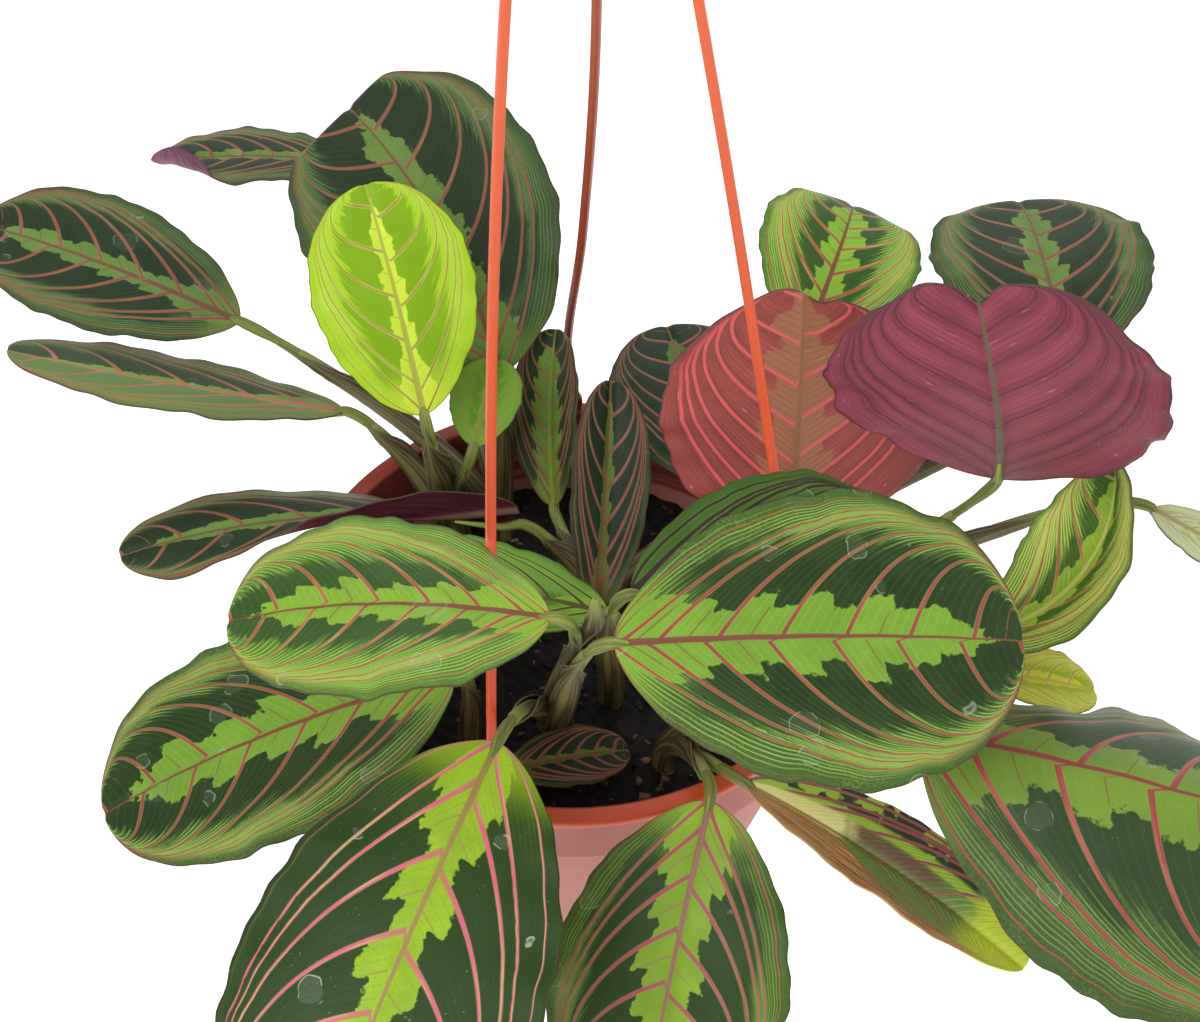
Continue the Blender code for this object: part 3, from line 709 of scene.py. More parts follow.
def smooth_route(points, spacing):
    """A cubic Hermite curve through the points, about spacing mm from point to point.

    A point's tangent is the mean of the slopes on both sides, each weighed by the
    other side's length.
    """
    points = np.array(points, float)
    spans = np.diff(points, axis=0)
    lengths = np.linalg.norm(spans, axis=1)[:, None]
    slopes = spans / lengths
    middle = (slopes[:-1] * lengths[1:] + slopes[1:] * lengths[:-1]) / (lengths[1:] + lengths[:-1])
    tangents = np.vstack([slopes[:1], middle, slopes[-1:]])
    route = [points[0]]
    for i, length in enumerate(lengths[:, 0]):
        count = max(1, round(length / spacing))
        u = np.linspace(0, 1, count + 1)[1:, None]
        route.extend((2 * u ** 3 - 3 * u ** 2 + 1) * points[i]
                     + (3 * u ** 2 - 2 * u ** 3) * points[i + 1]
                     + length * ((u ** 3 - 2 * u ** 2 + u) * tangents[i]
                                 + (u ** 3 - u ** 2) * tangents[i + 1]))
    return np.array(route)


def tube(route, radii, sides, ribs=0, rib_height=0.0, flat=1.0):
    """A ring round each point of the route, carried along without twisting, with round ends.

    The radius at angle a is radius * (1 + rib_height cos(ribs a)), and flat
    squeezes the ring along its second axis.
    """
    route = np.asarray(route, float)
    radii = np.asarray(radii, float)
    ends = []
    for end, inner in ((0, 1), (-1, -2)):
        outward = unit(route[end] - route[inner])
        angles = np.radians(CAP_ANGLES[::-1] if end == 0 else CAP_ANGLES)[:, None]
        ends.append((route[end] + outward * radii[end] * np.sin(angles),
                     radii[end] * np.cos(angles[:, 0])))
    line = np.vstack([ends[0][0], route, ends[1][0]])
    size = np.concatenate([ends[0][1], radii, ends[1][1]])
    tangents = unit(np.gradient(line, axis=0))
    side = np.cross(tangents[0], (0.3, 0.2, 0.9))     # a way that no tube starts along
    first = []
    for tangent in tangents:
        side = unit(side - tangent * (side @ tangent))
        first.append(side)
    first = np.array(first)
    second = np.cross(tangents, first) * flat
    angle = np.linspace(0, 2 * math.pi, sides, endpoint=False)
    swell = 1 + rib_height * np.cos(ribs * angle)
    ring = (first[:, None] * (np.cos(angle) * swell)[None, :, None]
            + second[:, None] * (np.sin(angle) * swell)[None, :, None])
    points = line[:, None] + ring * size[:, None, None]
    rows = len(line)
    faces = list(grid_faces(rows, sides, wrap=True)[:, ::-1])
    faces.append(np.arange(sides))
    faces.append(np.arange(rows * sides - 1, (rows - 1) * sides - 1, -1))
    layers = {"along": np.repeat(np.linspace(0, 1, rows), sides),
              "around": np.tile(np.abs(angle / math.pi - 1), rows)}
    return Shell(points.reshape(-1, 3), faces, layers)


def rounded(profile, radius, steps=4):
    """Each inner corner of a profile as the arc (1-u)^2 a + 2u (1-u) corner + u^2 b.

    Its ends a and b are radius from the corner, or 45% of the side where that is less.
    """
    profile = np.array(profile, float)
    line = [profile[0]]
    for before, corner, after in zip(profile[:-2], profile[1:-1], profile[2:]):
        start = corner + (before - corner) * min(0.45, radius / np.linalg.norm(before - corner))
        end = corner + (after - corner) * min(0.45, radius / np.linalg.norm(after - corner))
        u = np.linspace(0, 1, steps + 1)[:, None]
        line.extend((1 - u) ** 2 * start + 2 * u * (1 - u) * corner + u ** 2 * end)
    line.append(profile[-1])
    return np.array(line)


def turned(profile, steps):
    """A profile of (radius, height) from axis to axis, turned about Z."""
    profile = np.asarray(profile, float)
    angle = np.linspace(0, 2 * math.pi, steps, endpoint=False)
    ring = profile[1:-1]
    points = np.stack([ring[:, :1] * np.cos(angle), ring[:, :1] * np.sin(angle),
                       np.repeat(ring[:, 1:], steps, axis=1)], axis=-1).reshape(-1, 3)
    centre = np.full(steps, len(points))
    here = np.arange(steps)
    after = np.roll(here, -1)
    last_ring = (len(ring) - 1) * steps
    caps = np.stack([np.stack([centre, here, after], axis=-1),
                     np.stack([centre + 1, last_ring + after, last_ring + here], axis=-1)], axis=1)
    points = np.vstack([points, (0, 0, profile[0, 1]), (0, 0, profile[-1, 1])])
    return Shell(points, [*grid_faces(len(ring), steps, wrap=True), *caps.reshape(-1, 3)])


# -------------------------------------------------------------------- leaves
def blade_frame(leaf):
    """Forward, left and up at the blade's foot, as columns."""
    heading, pitch, roll = np.radians([leaf.heading, leaf.pitch, leaf.roll])
    forward = np.array([math.cos(heading) * math.cos(pitch),
                        math.sin(heading) * math.cos(pitch), math.sin(pitch)])
    level = np.array([-math.sin(heading), math.cos(heading), 0])
    above = np.cross(forward, level)
    left = level * math.cos(roll) + above * math.sin(roll)
    up = above * math.cos(roll) - level * math.sin(roll)
    return np.column_stack([forward, left, up])


def half_width(leaf, t):
    """width / 2 times t^foot (1 - t)^tip over its peak, for the two roundnesses."""
    fullest = FOOT_ROUNDNESS / (FOOT_ROUNDNESS + TIP_ROUNDNESS)
    peak = fullest ** FOOT_ROUNDNESS * (1 - fullest) ** TIP_ROUNDNESS
    return leaf.width / 2 * t ** FOOT_ROUNDNESS * (1 - t) ** TIP_ROUNDNESS / peak


def midrib(leaf, t):
    """The midrib, in mm, whose slope turns by droop t^1.4 down and sway t sideways."""
    fine = np.linspace(0, 1, 101)
    down = math.radians(leaf.droop) * fine ** 1.4
    side = math.radians(leaf.sway) * fine
    step = np.column_stack([np.cos(side) * np.cos(down), np.sin(side) * np.cos(down),
                            -np.sin(down)]) * leaf.length / 100
    line = np.vstack([np.zeros(3), np.cumsum((step[1:] + step[:-1]) / 2, axis=0)])
    return np.column_stack([np.interp(t, fine, line[:, k]) for k in range(3)])


def blade_surface(leaf, t, s):
    """Points over the blade: t from foot to tip, s from -1 to 1 across it.

    Each half rises by the angle cup at the midrib and then curves over by the angle
    arch, along an arc whose length is the half width. Both turn by twist t.
    """
    down = math.radians(leaf.droop) * t ** 1.4
    side = math.radians(leaf.sway) * t
    turn = math.radians(leaf.twist) * t
    across = np.column_stack([-np.sin(side), np.cos(side), 0 * side])
    normal = np.column_stack([np.cos(side) * np.sin(down), np.sin(side) * np.sin(down),
                              np.cos(down)])
    cos_turn = np.cos(turn)[:, None]
    sin_turn = np.sin(turn)[:, None]
    across, normal = (across * cos_turn + normal * sin_turn,
                      normal * cos_turn - across * sin_turn)
    cup = math.radians(leaf.cup)
    arch = math.radians(leaf.arch)
    reach = np.sign(s) * (math.sin(cup) - np.sin(cup - arch * np.abs(s))) / arch
    rise_up = (np.cos(cup - arch * np.abs(s)) - math.cos(cup)) / arch
    width = half_width(leaf, t)[:, None, None]
    local = (midrib(leaf, t)[:, None]
             + across[:, None] * width * reach[None, :, None]
             + normal[:, None] * width * rise_up[None, :, None])
    return np.array(leaf.foot) + local @ blade_frame(leaf).T


def folded(leaf, t, s):
    """The blade's surface, bent back along its fold line where it has one.

    Beyond the line, a point's distance d from it runs round an arc of the
    bend's radius, up to the bend's angle, and then straight on.
    """
    middle = blade_surface(leaf, t, s)
    if leaf.name not in FOLDS:
        return middle
    fold = FOLDS[leaf.name]
    step = 0.01
    here = blade_surface(leaf, np.array([fold.along - step, fold.along, fold.along + step]),
                         np.array([fold.across - step, fold.across, fold.across + step]))
    forward = unit(here[2, 1] - here[0, 1])
    upward = unit(np.cross(forward, here[1, 2] - here[1, 0]))
    left = np.cross(upward, forward)
    way = math.radians(fold.way)
    beyond = forward * math.cos(way) + left * math.sin(way)
    distance = np.maximum((middle - here[1, 1]) @ beyond, 0)
    limit = math.radians(abs(fold.angle))
    turn = np.minimum(distance / fold.radius, limit)
    rest = distance - fold.radius * turn
    ahead = fold.radius * np.sin(turn) + rest * np.cos(turn) - distance
    raised = fold.radius * (1 - np.cos(turn)) + rest * np.sin(turn)
    raised = raised * math.copysign(1, fold.angle)
    return middle + ahead[..., None] * beyond + raised[..., None] * upward


def with_lobes(leaf, middle, t, s):
    """Pushes the blade's far end ahead by height exp(-((y - y0) / reach)^2) t^6."""
    for y0, reach, height in LOBES.get(leaf.name, ()):
        y = s[None, :] * half_width(leaf, t)[:, None]
        ahead = height * np.exp(-((y - y0) / reach) ** 2) * t[:, None] ** 6
        step = unit(np.gradient(middle[:, len(s) // 2], axis=0))
        middle = middle + ahead[..., None] * step[:, None]
    return middle


def vein_number(look, t, s):
    """How many lateral veins lie between the foot and this point.

    A vein that leaves the midrib at share r has t = r + (1 - r) g, with q the
    share of the way out and g = sweep (t + 1/2) q + (1 - 1.5 sweep) q^3.
    By the foot they stand closer, and the outermost run beside the margin.
    """
    q = np.abs(s)
    bend = look.sweep * (0.5 + t) * q + (1.0 - 1.5 * look.sweep) * q ** 3
    start = (t - bend) / (1 - bend)
    ahead = np.maximum(start, 0)
    behind = np.minimum(start, 0)
    stagger = 0.25 * (s < 0)
    number = look.count * (ahead + 0.06 * (1 - np.exp(-ahead / 0.06)))
    return number - 1.4 * (1 - np.exp(2.5 * behind)) + stagger + 20


def slope_per_mm(values, points):
    """How fast the values change per mm over a surface, from its two grid directions."""
    along = np.gradient(points, axis=0)
    side = np.gradient(points, axis=1)
    change_along = np.gradient(values, axis=0)
    change_side = np.gradient(values, axis=1)
    e = (along ** 2).sum(-1)
    f = (along * side).sum(-1)
    g = (side ** 2).sum(-1)
    square = (g * change_along ** 2 - 2 * f * change_along * change_side
              + e * change_side ** 2) / np.maximum(e * g - f ** 2, 1e-9)
    return np.sqrt(np.maximum(square, 1e-9))


def closed_sheet(top, under):
    """Two grids of points back to back, joined round their border.

    The faces of the top come first, then as many of the under side.
    """
    rows, columns = top.shape[:2]
    faces = grid_faces(rows, columns)
    count = rows * columns
    index = np.arange(count).reshape(rows, columns)
    border = np.concatenate([index[:-1, 0], index[-1, :-1], index[:0:-1, -1], index[0, :0:-1]])
    after = np.roll(border, -1)
    rim = np.stack([border, border + count, after + count, after], axis=-1)
    points = np.vstack([top.reshape(-1, 3), under.reshape(-1, 3)])
    return points, list(np.vstack([faces, faces[:, ::-1] + count, rim])), len(faces)


def blade_shell(leaf, seed):
    """A thin closed blade: a middle surface, offset both ways, with a wavy margin.

    q is the share of the way from the midrib to the margin. The margin is scalloped
    by two sines of t in the blade's own surface, times q^5, and waved by two more
    along the normal, times q^3. A quilt of |sin(pi vein)| bulges between the veins,
    exp(-(rib / 1.3)^2) sinks the midrib, and a like ridge stands under it.
    """
    u = np.linspace(0, 1, BLADE_ROWS)
    t = 0.001 + 0.998 * (1 - np.cos(math.pi * u)) / 2
    s = np.linspace(-1, 1, BLADE_COLUMNS + 1)
    middle = with_lobes(leaf, folded(leaf, t, s), t, s)
    grid_t, grid_s = np.meshgrid(t, s, indexing="ij")
    q = np.abs(grid_s)
    outward = unit(np.gradient(middle, axis=1))
    scallop = 0.5 * np.sin(2 * math.pi * (4.3 * grid_t + 0.4 * grid_s + seed))
    scallop = scallop + 0.3 * np.sin(2 * math.pi * (10.7 * grid_t + 0.2 * grid_s + 2 * seed))
    fade = np.sin(math.pi * grid_t) ** 0.5
    scallop = (scallop - 0.4) * fade * q ** 5 * leaf.width / 75
    middle = middle + outward * (np.sign(grid_s) * scallop)[..., None]
    width = half_width(leaf, t)[:, None]
    vein = vein_number(LOOKS[leaf.look], grid_t, grid_s)
    pitch = 1 / slope_per_mm(np.where(grid_s < 0, vein - 0.25, vein), middle)
    rib = q * width
    edge = (1 - q) * width

    normal = unit(np.cross(np.gradient(middle, axis=0), np.gradient(middle, axis=1)))
    size = leaf.width / 70
    wave = 0.9 * size * q ** 3 * np.sin(2 * math.pi * (3.2 * grid_t + 0.3 * np.sign(grid_s) + seed))
    wave = wave + 0.5 * size * q ** 3 * np.sin(2 * math.pi * (7.1 * grid_t + seed * 3))
    quilt = 0.35 * size * (np.abs(np.sin(math.pi * vein)) - 0.6) * (1 - q ** 4) * fade
    channel = -0.5 * np.exp(-(rib / 1.3) ** 2)
    half = BLADE_THICKNESS / 2
    ridge = 0.9 * (1.15 - grid_t) * np.exp(-(rib / 0.9) ** 2)
    height = wave * fade + quilt + channel
    top = middle + normal * (height + half)[..., None]
    under = middle + normal * (height - half - ridge)[..., None]

    points, faces, count = closed_sheet(top, under)
    tint = np.zeros(len(faces), int)
    tint[count:2 * count] = 1
    layers = {"along": grid_t, "across": q, "vein": vein, "pitch": np.clip(pitch, 0, 40),
              "rib": rib, "edge": edge, "side": grid_s}
    layers = {key: np.tile(values.ravel(), 2) for key, values in layers.items()}
    return Shell(points, faces, layers, tint)


def stalk_route(leaf, count=41):
    """A cubic Hermite curve from the shoot's place in the soil to the blade's foot.

    It meets the blade along its midrib, and a leaning stalk bends later.
    """
    start = np.array([*SHOOTS[leaf.shoot], -SOIL_DEPTH], float)
    end = np.array(leaf.foot, float)
    reach = np.linalg.norm(end - start)
    upright = np.array([0, 0, STALK_LEAVE * reach + STALK_LIFT])
    leave = upright * (1 - leaf.lean) + (end - start) * leaf.lean
    arrive = blade_frame(leaf)[:, 0] * STALK_ARRIVE * reach * (1 - leaf.lean / 2)
    u = np.linspace(0, 1, count)[:, None]
    return ((2 * u ** 3 - 3 * u ** 2 + 1) * start + (u ** 3 - 2 * u ** 2 + u) * leave
            + (3 * u ** 2 - 2 * u ** 3) * end + (u ** 3 - u ** 2) * arrive)


def petiole_shell(leaf):
    """From inside the sheath, through the swollen pulvinus, to under the midrib.

    The pulvinus swells by exp(-((d - 4) / 5)^4), at d mm from the blade's foot.
    """
    route = stalk_route(leaf)
    first = round(leaf.sheath * (len(route) - 1)) - 1
    inside = blade_surface(leaf, np.array([0.04, 0.10, 0.16]), np.zeros(1))[:, 0]
    inside = inside - blade_frame(leaf)[:, 2] * [[1.5], [1.4], [1.1]]
    line = np.vstack([route[first:], inside])
    near = np.linalg.norm(line - route[-1], axis=1)
    radii = PETIOLE_RADIUS + (PULVINUS_RADIUS - PETIOLE_RADIUS) * np.exp(-((near - 4) / 5) ** 4)
    radii[-3:] = [1.1, 0.8, 0.4]
    return tube(line, radii, 16)._replace(tint=2)


def make_leaf(leaf, number, finishes):
    """A blade with its petiole. The number seeds the blade's waves and patches."""
    shells = [blade_shell(leaf, (number * 0.37) % 1), petiole_shell(leaf)]
    leaf.look == "lime" or leaf.name == "leaf_right_translucent"
    if leaf.look == "dying":
        upper = dying_upper(leaf.name + "_upper")
    else:
        upper = leaf_upper(leaf.name + "_upper", LOOKS[leaf.look], number * 1.3)
    under = finishes.get(leaf.name, finishes["underside"])
    add_piece(leaf.name + "_fine", shells, [upper, under, finishes["petiole"]],
              [leaf.name])


def sheath_shell(leaf):
    """A leaf's sheath: a sheet wrapped round its stalk, which opens to a pointed tongue.

    At share u of its length it reaches to both sides of its back by an angle
    that falls from 168 degrees to 3, at a radius that narrows towards the
    petiole's, with fine ribs along it and lips that stand off a little.
    """
    wide, beyond = SHEATHS.get(leaf.name, PLAIN_SHEATH)
    route = stalk_route(leaf, 121)
    route = route[:round((leaf.sheath + beyond) * (len(route) - 1))]
    u = np.linspace(0, 1, len(route))
    closing = np.clip((u - 0.5) / 0.5, 0, 1)
    opening = np.radians(165 * (1 - closing ** 2 * (3 - 2 * closing)) + 3)
    radius = SHEATH_RADIUS + (PETIOLE_RADIUS + 0.3 - SHEATH_RADIUS) * u
    radius = radius * (wide + (1 - wide) * u ** 2)
    tangent = unit(np.gradient(route, axis=0))
    back = unit(SHEATH_BACK - tangent * (tangent @ SHEATH_BACK)[:, None])
    aside = np.cross(tangent, back)
    v = np.linspace(1, -1, 25)
    angle = opening[:, None] * v
    ribbed = 1 + 0.025 * np.cos(18 * angle) + 0.12 * np.abs(v) ** 6
    way = back[:, None] * np.cos(angle)[..., None] + aside[:, None] * np.sin(angle)[..., None]
    inner = radius[:, None] * ribbed
    top = route[:, None] + way * (inner + BLADE_THICKNESS)[..., None]
    under = route[:, None] + way * inner[..., None]
    points, faces, _ = closed_sheet(top, under)
    layers = {"along": np.tile(np.repeat(u * 0.9, len(v)), 2),
              "around": np.tile(np.abs(v), 2 * len(u))}
    return Shell(points, faces, layers)


def bud_shell():
    """A furled leaf: a tube with three rounded ridges, which are its turns."""
    route = smooth_route(BUD_ROUTE, 1.2)
    radii = np.interp(np.linspace(0, 1, len(route)), (0, 0.4, 0.75, 1), BUD_RADII)
    return tube(route, radii, 32, ribs=3, rib_height=0.07)


def make_shoot(name, finish):
    """One ribbed stalk for each leaf in its open sheath, on a foot in the soil."""
    shells = []
    for leaf in LEAVES:
        if leaf.shoot != name:
            continue
        route = stalk_route(leaf)
        line = route[:round(leaf.sheath * (len(route) - 1)) + 1]
        radii = np.linspace(SHEATH_RADIUS - 0.3, PETIOLE_RADIUS + 0.3, len(line))
        shells += [tube(line, radii, 24, ribs=8, rib_height=0.05, flat=0.9), sheath_shell(leaf)]
    if name == BUD_SHOOT:
        shells.append(bud_shell())
    x, y = SHOOTS[name]
    foot = [(x, y, -SOIL_DEPTH + up) for up in (-12, -4, 2.4)]
    shells.append(tube(foot, [3.9, 3.9, 3.4], 20))
    add_piece(name + "_fine", shells, [finish], [name])


# ----------------------------------------------------------------- pot, soil
def inner_radius(depth):
    """Inside of the tapered wall, at a depth below the rim."""
    share = (depth - BAND_HEIGHT) / (POT_HEIGHT - BAND_HEIGHT)
    top = RIM_RADIUS - LIP_WIDTH - WALL - 2 * STEP_WIDTH
    return top + (BASE_RADIUS - WALL - top) * share


def polar(azimuth, radius, height):
    """A point at an azimuth in degrees."""
    angle = math.radians(azimuth)
    return np.array([radius * math.cos(angle), radius * math.sin(angle), height])


def pot_shell():
    """The pot's wall and floor as one turned profile, from inside to outside."""
    floor = POT_HEIGHT - WALL
    band = RIM_RADIUS - LIP_WIDTH
    wall = band - WALL
    profile = [
        (0, -floor), (inner_radius(floor), -floor),
        (wall - 2 * STEP_WIDTH, -STEP_TOP - STEP_PITCH),
        (wall - STEP_WIDTH, -STEP_TOP - STEP_PITCH), (wall - STEP_WIDTH, -STEP_TOP),
        (wall, -STEP_TOP), (wall, 0), (RIM_RADIUS, 0), (RIM_RADIUS, -LIP_DEPTH),
        (band, -LIP_DEPTH), (band, -BAND_HEIGHT),
        (band - 2 * STEP_WIDTH, -BAND_HEIGHT - STEP_PITCH),
        (BASE_RADIUS, -POT_HEIGHT), (0, -POT_HEIGHT),
    ]
    return turned(rounded(profile, 0.9), 144)


def ear_shell(azimuth):
    """A washer whose section runs from the eye to the outside as a rounded slab.

    Across the section the offset from the middle is cos(a) times half the
    radial width and sin(a) times half the thickness, both to the power 0.6.
    """
    outward = polar(azimuth, 1, 0)
    sideways = polar(azimuth + 90, 1, 0)
    upward = np.array([0, 0, 1.0])
    middle = polar(azimuth, RIM_RADIUS - LIP_WIDTH / 2, 0)
    turn = np.linspace(0, 2 * math.pi, 40, endpoint=False)
    section = np.linspace(0, 2 * math.pi, 16, endpoint=False)
    ring = np.outer(np.cos(turn), sideways) + np.outer(np.sin(turn), upward)
    inner = ring * EYE_RADIUS + upward * EAR_EYE
    outer = ring * EAR_RADIUS + upward * EAR_CENTRE
    share = 0.5 + 0.5 * np.sign(np.cos(section)) * np.abs(np.cos(section)) ** 0.6
    depth = EAR_THICKNESS / 2 * np.sign(np.sin(section)) * np.abs(np.sin(section)) ** 0.6
    points = (middle + inner[None] + (outer - inner)[None] * share[:, None, None]
              + outward * depth[:, None, None])
    points = np.concatenate([points, points[:1]])
    faces = grid_faces(len(section) + 1, len(turn), wrap=True)
    return Shell(points.reshape(-1, 3), faces)


def cut_drains(pot):
    """Cuts the drain holes through the floor."""
    plug = bmesh.new()
    for i in range(DRAIN_COUNT):
        centre = polar(360 * i / DRAIN_COUNT, DRAIN_CIRCLE, -POT_HEIGHT)
        matrix = Matrix.Translation(place(centre))
        bmesh.ops.create_cone(plug, cap_ends=True, segments=32, radius1=DRAIN_RADIUS * MM,
                              radius2=DRAIN_RADIUS * MM, depth=4 * WALL * MM, matrix=matrix)
    mesh = bpy.data.meshes.new("drain_plugs")
    plug.to_mesh(mesh)
    plug.free()
    cutter = bpy.data.objects.new("drain_plugs", mesh)
    bpy.context.scene.collection.objects.link(cutter)
    cut = pot.modifiers.new("drains", "BOOLEAN")
    cut.operation = "DIFFERENCE"
    cut.solver = "EXACT"
    cut.object = cutter
    bpy.context.view_layer.update()
    result = bpy.data.meshes.new_from_object(
        pot.evaluated_get(bpy.context.evaluated_depsgraph_get()))
    pot.modifiers.clear()
    pot.data = result
    bpy.data.objects.remove(cutter)


def make_pot(finish):
    """The pot with its three ears, drilled."""
    ears = [ear_shell(strand.azimuth) for strand in STRANDS]
    pot = add_piece("pot_fine", [pot_shell(), *ears], [finish], ["pot"])
    weld(pot)
    cut_drains(pot)


def weld(piece):
    """Merges doubled points and turns every face outwards."""
    shape = bmesh.new()
    shape.from_mesh(piece.data)
    bmesh.ops.remove_doubles(shape, verts=shape.verts, dist=1e-6)
    bmesh.ops.recalc_face_normals(shape, faces=shape.faces)
    shape.to_mesh(piece.data)
    shape.free()


def make_soil(finish, bark, draws):
    """Peat in the pot: low waves of height over the disc, with lumps of bark in it."""
    radius = inner_radius(SOIL_DEPTH) - 0.3
    floor = POT_HEIGHT - WALL - 0.3
    rings = np.linspace(0, 1, 60)[1:]
    profile = [(0, -SOIL_DEPTH)] + [(radius * r, -SOIL_DEPTH) for r in rings]
    profile += [(inner_radius(floor) - 0.3, -floor), (0, -floor)]
    peat = turned(profile[::-1], 160)
    on_top = peat.points[:, 2] > -SOIL_DEPTH - 1
    peat.points[on_top, 2] = soil_height(peat.points[on_top])
    weld(add_piece("soil_fine", [peat], [finish], ["soil"]))

    shells = []
    for _ in range(SOIL_BITS):
        angle = draws.uniform(0, 2 * math.pi)
        out = (radius - 3) * math.sqrt(draws.uniform(0, 1))
        size = draws.uniform(0.5, 2.2) * draws.uniform(0.5, 1)
        centre = np.array([out * math.cos(angle), out * math.sin(angle), 0])
        centre[2] = soil_height(centre[None])[0] + size * 0.1
        shells.append(lump_shell(centre, size, draws))
    add_piece("soil_bits", shells, [bark])


def soil_height(points):
    """The soil's level: a dome 2 (1 - r^2 / R^2) and four waves, all 0.8 mm lower."""
    x, y = points[:, 0], points[:, 1]
    dome = 2 * (1 - (x ** 2 + y ** 2) / RIM_RADIUS ** 2)
    waves = 0.9 * np.sin(0.21 * x + 0.9) * np.sin(0.19 * y - 0.4)
    waves = waves + 0.6 * np.sin(0.63 * x - 0.5 * y) + 0.4 * np.sin(0.9 * x + 1.3 * y + 1)
    waves = waves + 0.35 * np.sin(1.9 * x + 0.4) * np.sin(2.1 * y)
    return -SOIL_DEPTH + dome + waves - 0.8


def lump_shell(centre, size, draws):
    """A cube whose corners are drawn in, and which is stretched and turned at random."""
    corners = np.array([(x, y, z) for x in (-1, 1) for y in (-1, 1) for z in (-1, 1)], float)
    corners *= draws.uniform(0.5, 1.0, (8, 3)) * [1.6, 0.9, 0.6] * size / 1.4
    spin, _ = np.linalg.qr(draws.normal(size=(3, 3)))
    if np.linalg.det(spin) < 0:
        spin[:, 0] *= -1
    faces = [np.array(face) for face in ((0, 1, 3, 2), (4, 6, 7, 5), (0, 4, 5, 1), (2, 3, 7, 6),
                                         (0, 2, 6, 4), (1, 5, 7, 3))]
    shade = np.full(8, draws.uniform(0, 1) ** 2)
    return Shell(centre + corners @ spin.T, faces, {"shade": shade})


# -------------------------------------------------------------------- hanger
def strand_route(strand):
    """From the button behind the ear, through its eye, and up to the hub."""
    middle = RIM_RADIUS - LIP_WIDTH / 2
    hub_bottom = HUB_TOP - HUB_HEIGHT
    outward = polar(strand.azimuth, 1, 0)
    sideways = polar(strand.azimuth + 90, 1, 0)
    points = [outward * (middle + out) + np.array([0, 0, EAR_EYE + up]) for out, up in STRAND_END]
    start = points[-1]
    end = polar(strand.azimuth, SOCKET_CIRCLE, hub_bottom - SOCKET_DEPTH)
    for share in (0.2, 0.4, 0.6, 0.8):
        bow = math.sin(math.pi * share)
        points.append(start + (end - start) * share + outward * strand.bow_out * bow
                      + sideways * strand.bow_side * bow)
    points.append(end)
    points.append(polar(strand.azimuth, SOCKET_CIRCLE, hub_bottom))
    points.append(polar(strand.azimuth, SOCKET_CIRCLE, hub_bottom + SOCKET_DEPTH - 0.3))
    return smooth_route(points, 3)


def make_strand(strand, finish):
    """A ribbed strand, which swells behind the ear by 0.9 exp(-(d / 1.8)^4), d mm from its end."""
    route = strand_route(strand)
    from_end = np.linalg.norm(route - route[0], axis=1)
    radii = STRAND_SLIM * STRAND_RADIUS * (1 + 0.9 * np.exp(-(from_end / 1.8) ** 4))
    shell = tube(route, radii, 32, ribs=4, rib_height=0.06)
    add_piece(strand.name + "_fine", [shell], [finish], [strand.name])


def make_hook(finish):
    """The hub is turned, with a collar at each end, and the hook is one bent wire."""
    ring = HOOK_INNER + HOOK_WIRE
    centre = HANGER_RISE - HOOK_INNER
    angles = np.radians(np.arange(-60, 201, 5))
    bend = np.column_stack([ring * np.cos(angles), 0 * angles, centre + ring * np.sin(angles)])
    stem = smooth_route([(0, 0, HUB_TOP - 4), (0, 0, HUB_TOP + 2), (0.5, 0, HUB_TOP + 8),
                         bend[0]], 1.5)
    line = np.vstack([stem[:-1], bend])
    wire = tube(line, np.full(len(line), HOOK_WIRE), 24)
    low = HUB_TOP - HUB_HEIGHT
    profile = [(0, low), (HUB_RADIUS, low), (HUB_RADIUS, low + 2.6), (HUB_RADIUS - 0.8, low + 3.2),
               (HUB_RADIUS - 0.8, HUB_TOP - 3), (HUB_RADIUS, HUB_TOP - 2.4), (HUB_RADIUS, HUB_TOP),
               (0, HUB_TOP)]
    hub = turned(rounded(profile, 0.7), 64)
    weld(add_piece("hook_fine", [wire, hub], [finish], ["hook"]))


# -------------------------------------------------------------------- studio
# The floor and the lights are in metres, in the shared frame.
def add_floor():
    """A wide pale floor under the hanging pot."""
    mesh = bpy.data.meshes.new("floor")
    half = 12
    level = CAD_BOX[0][2] - 0.5
    mesh.from_pydata([(-half, -half, level), (half, -half, level), (half, half, level),
                      (-half, half, level)], [], [(0, 1, 2, 3)])
    floor = bpy.data.objects.new("floor", mesh)
    bpy.context.scene.collection.objects.link(floor)
    material = bpy.data.materials.new("studio_floor")
    material.use_nodes = True
    shader = material.node_tree.nodes["Principled BSDF"]
    shader.inputs["Base Color"].default_value = (0.9, 0.9, 0.9, 1)
    shader.inputs["Roughness"].default_value = 0.9
    shader.inputs["Emission Color"].default_value = (1, 1, 1, 1)
    shader.inputs["Emission Strength"].default_value = 0.6
    mesh.materials.append(material)


def add_light(name, place_at, size, power):
    """A square area light that faces the rim's middle."""
    light = bpy.data.lights.new(name, "AREA")
    light.size = size
    light.energy = power
    item = bpy.data.objects.new(name, light)
    item.location = place_at
    way = Vector((0, 0, RIM_LEVEL)) - item.location
    item.rotation_euler = way.to_track_quat("-Z", "Y").to_euler()
    bpy.context.scene.collection.objects.link(item)


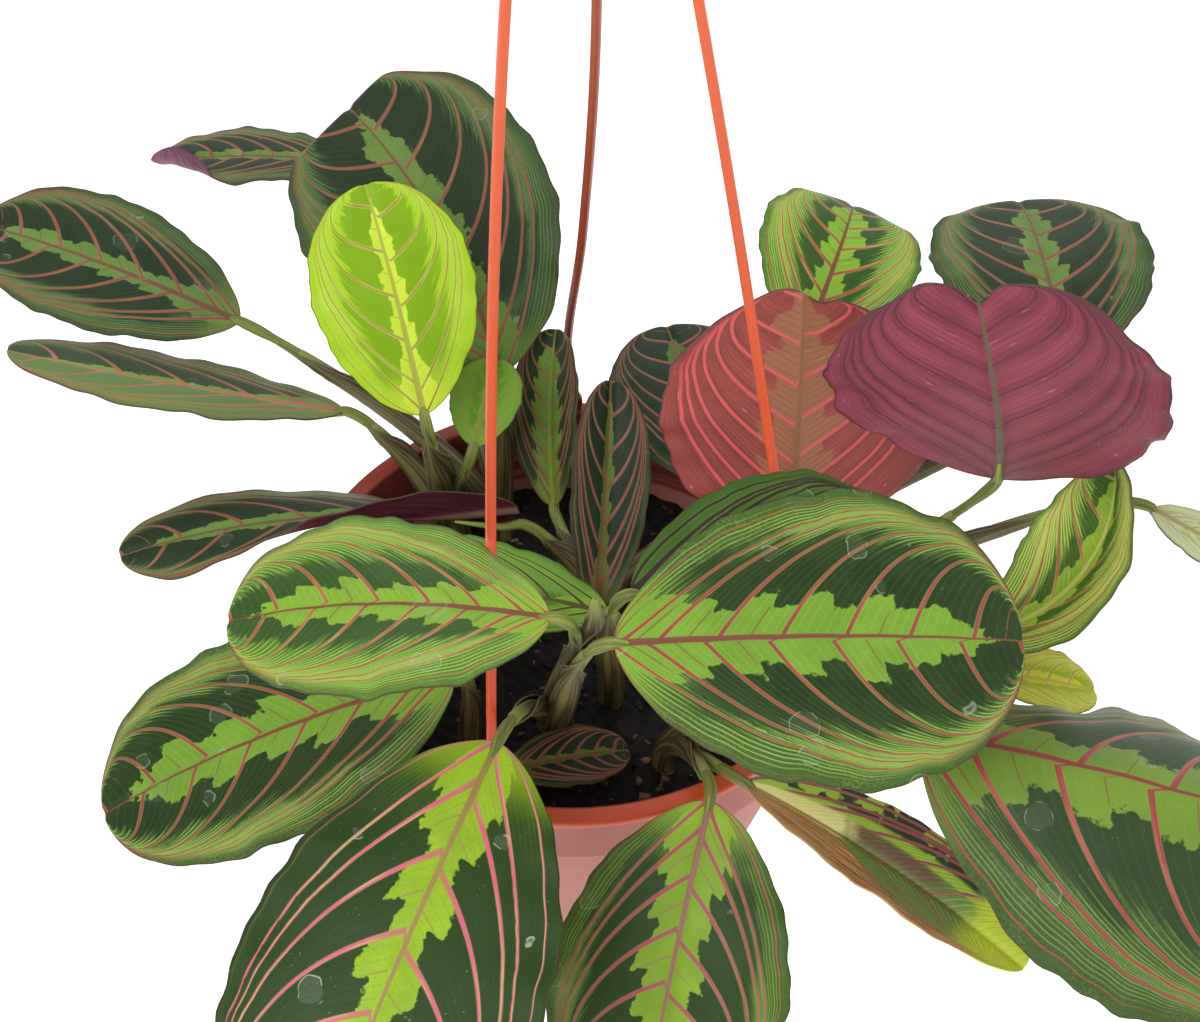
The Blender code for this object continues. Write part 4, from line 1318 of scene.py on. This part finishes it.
def add_camera():
    """A long lens, placed so that the rim's middle lies at RIM_IN_VIEW from its axis."""
    tilt = math.radians(CAMERA_PITCH)
    forward = np.array([0, math.cos(tilt), -math.sin(tilt)])
    upward = np.array([0, math.sin(tilt), math.cos(tilt)])
    right, above = RIM_IN_VIEW
    eye = -(np.array([right, 0, 0]) + upward * above + forward * CAMERA_DISTANCE)
    data = bpy.data.cameras.new("camera")
    data.lens = CAMERA_LENS
    data.sensor_width = SENSOR_WIDTH
    data.clip_start = 0.01
    camera = bpy.data.objects.new("camera", data)
    camera.location = place(eye)
    camera.rotation_euler = (math.radians(90 - CAMERA_PITCH), 0, 0)
    bpy.context.scene.collection.objects.link(camera)
    bpy.context.scene.camera = camera


def add_world():
    world = bpy.data.worlds.new("studio")
    world.use_nodes = True
    background = world.node_tree.nodes["Background"]
    background.inputs[0].default_value = (1, 1, 1, 1)
    background.inputs[1].default_value = 0.55
    bpy.context.scene.world = world


# --------------------------------------------------------------------- scene
bpy.context.scene.view_settings.view_transform = "Standard"    # colours show as painted
draws = np.random.default_rng(7)
petiole = stem_finish("petiole", "6c7430", "94a244", "b0c04c")
sheath = stem_finish("sheath", "443820", "827c48", "949a54")
strand_plastic = plastic_finish("hanger_plastic", "e84c1c", "e46434")
# Painted shade: the back strand is the same plastic, in a darker copy.
painted_shade_plastic = plastic_finish("hanger_plastic_back", "983c26", "bc5c40")
finishes = {
    "petiole": petiole,
    "underside": leaf_lower("leaf_under", "6a4248", "8c5c60", "6c7a4c", 0.2, "944c54", 0.5,
                            "8a8a54"),
    "leaf_left_rolled": leaf_lower("leaf_under_maroon", "401420", "702838", "5a342e", 0.1,
                                   "5c2430", 0.4, "6c5040"),
    "leaf_back_left": leaf_lower("leaf_under_plum", "74405a", "985a7c", "74405a", 0.1,
                                 "683450", 0.4, "785844"),
    "leaf_salmon_underside": leaf_lower("leaf_under_salmon", "8a3e34", "bc5a4e", "a8744c", 0.30,
                                        "e46060", 0.9, "94683c"),
    "leaf_purple_underside": leaf_lower("leaf_under_purple", "702438", "b45064", "8c5060", 0.0,
                                        "602838", 0.45, "6c6048"),
    "leaf_dying_rolled": leaf_lower("leaf_under_dry", "7a5648", "a08068", "a88c64", 0.2,
                                    "683c34", 0.5, "785844"),
}
make_pot(pot_finish())
make_soil(soil_finish(), bark_finish(), draws)
for strand in STRANDS:
    make_strand(strand, painted_shade_plastic if strand.name.endswith("back") else strand_plastic)
make_hook(strand_plastic)
for shoot in SHOOTS:
    make_shoot(shoot, sheath)
for number, leaf in enumerate(LEAVES):
    make_leaf(leaf, number, finishes)

add_floor()
add_world()
add_light("key", (-0.7, -0.9, 0.9), 1.2, 13)
add_light("fill", (1.2, -0.3, 0.6), 1.2, 5)
add_light("back", (0.2, 1.4, 0.8), 1.0, 5)
add_camera()
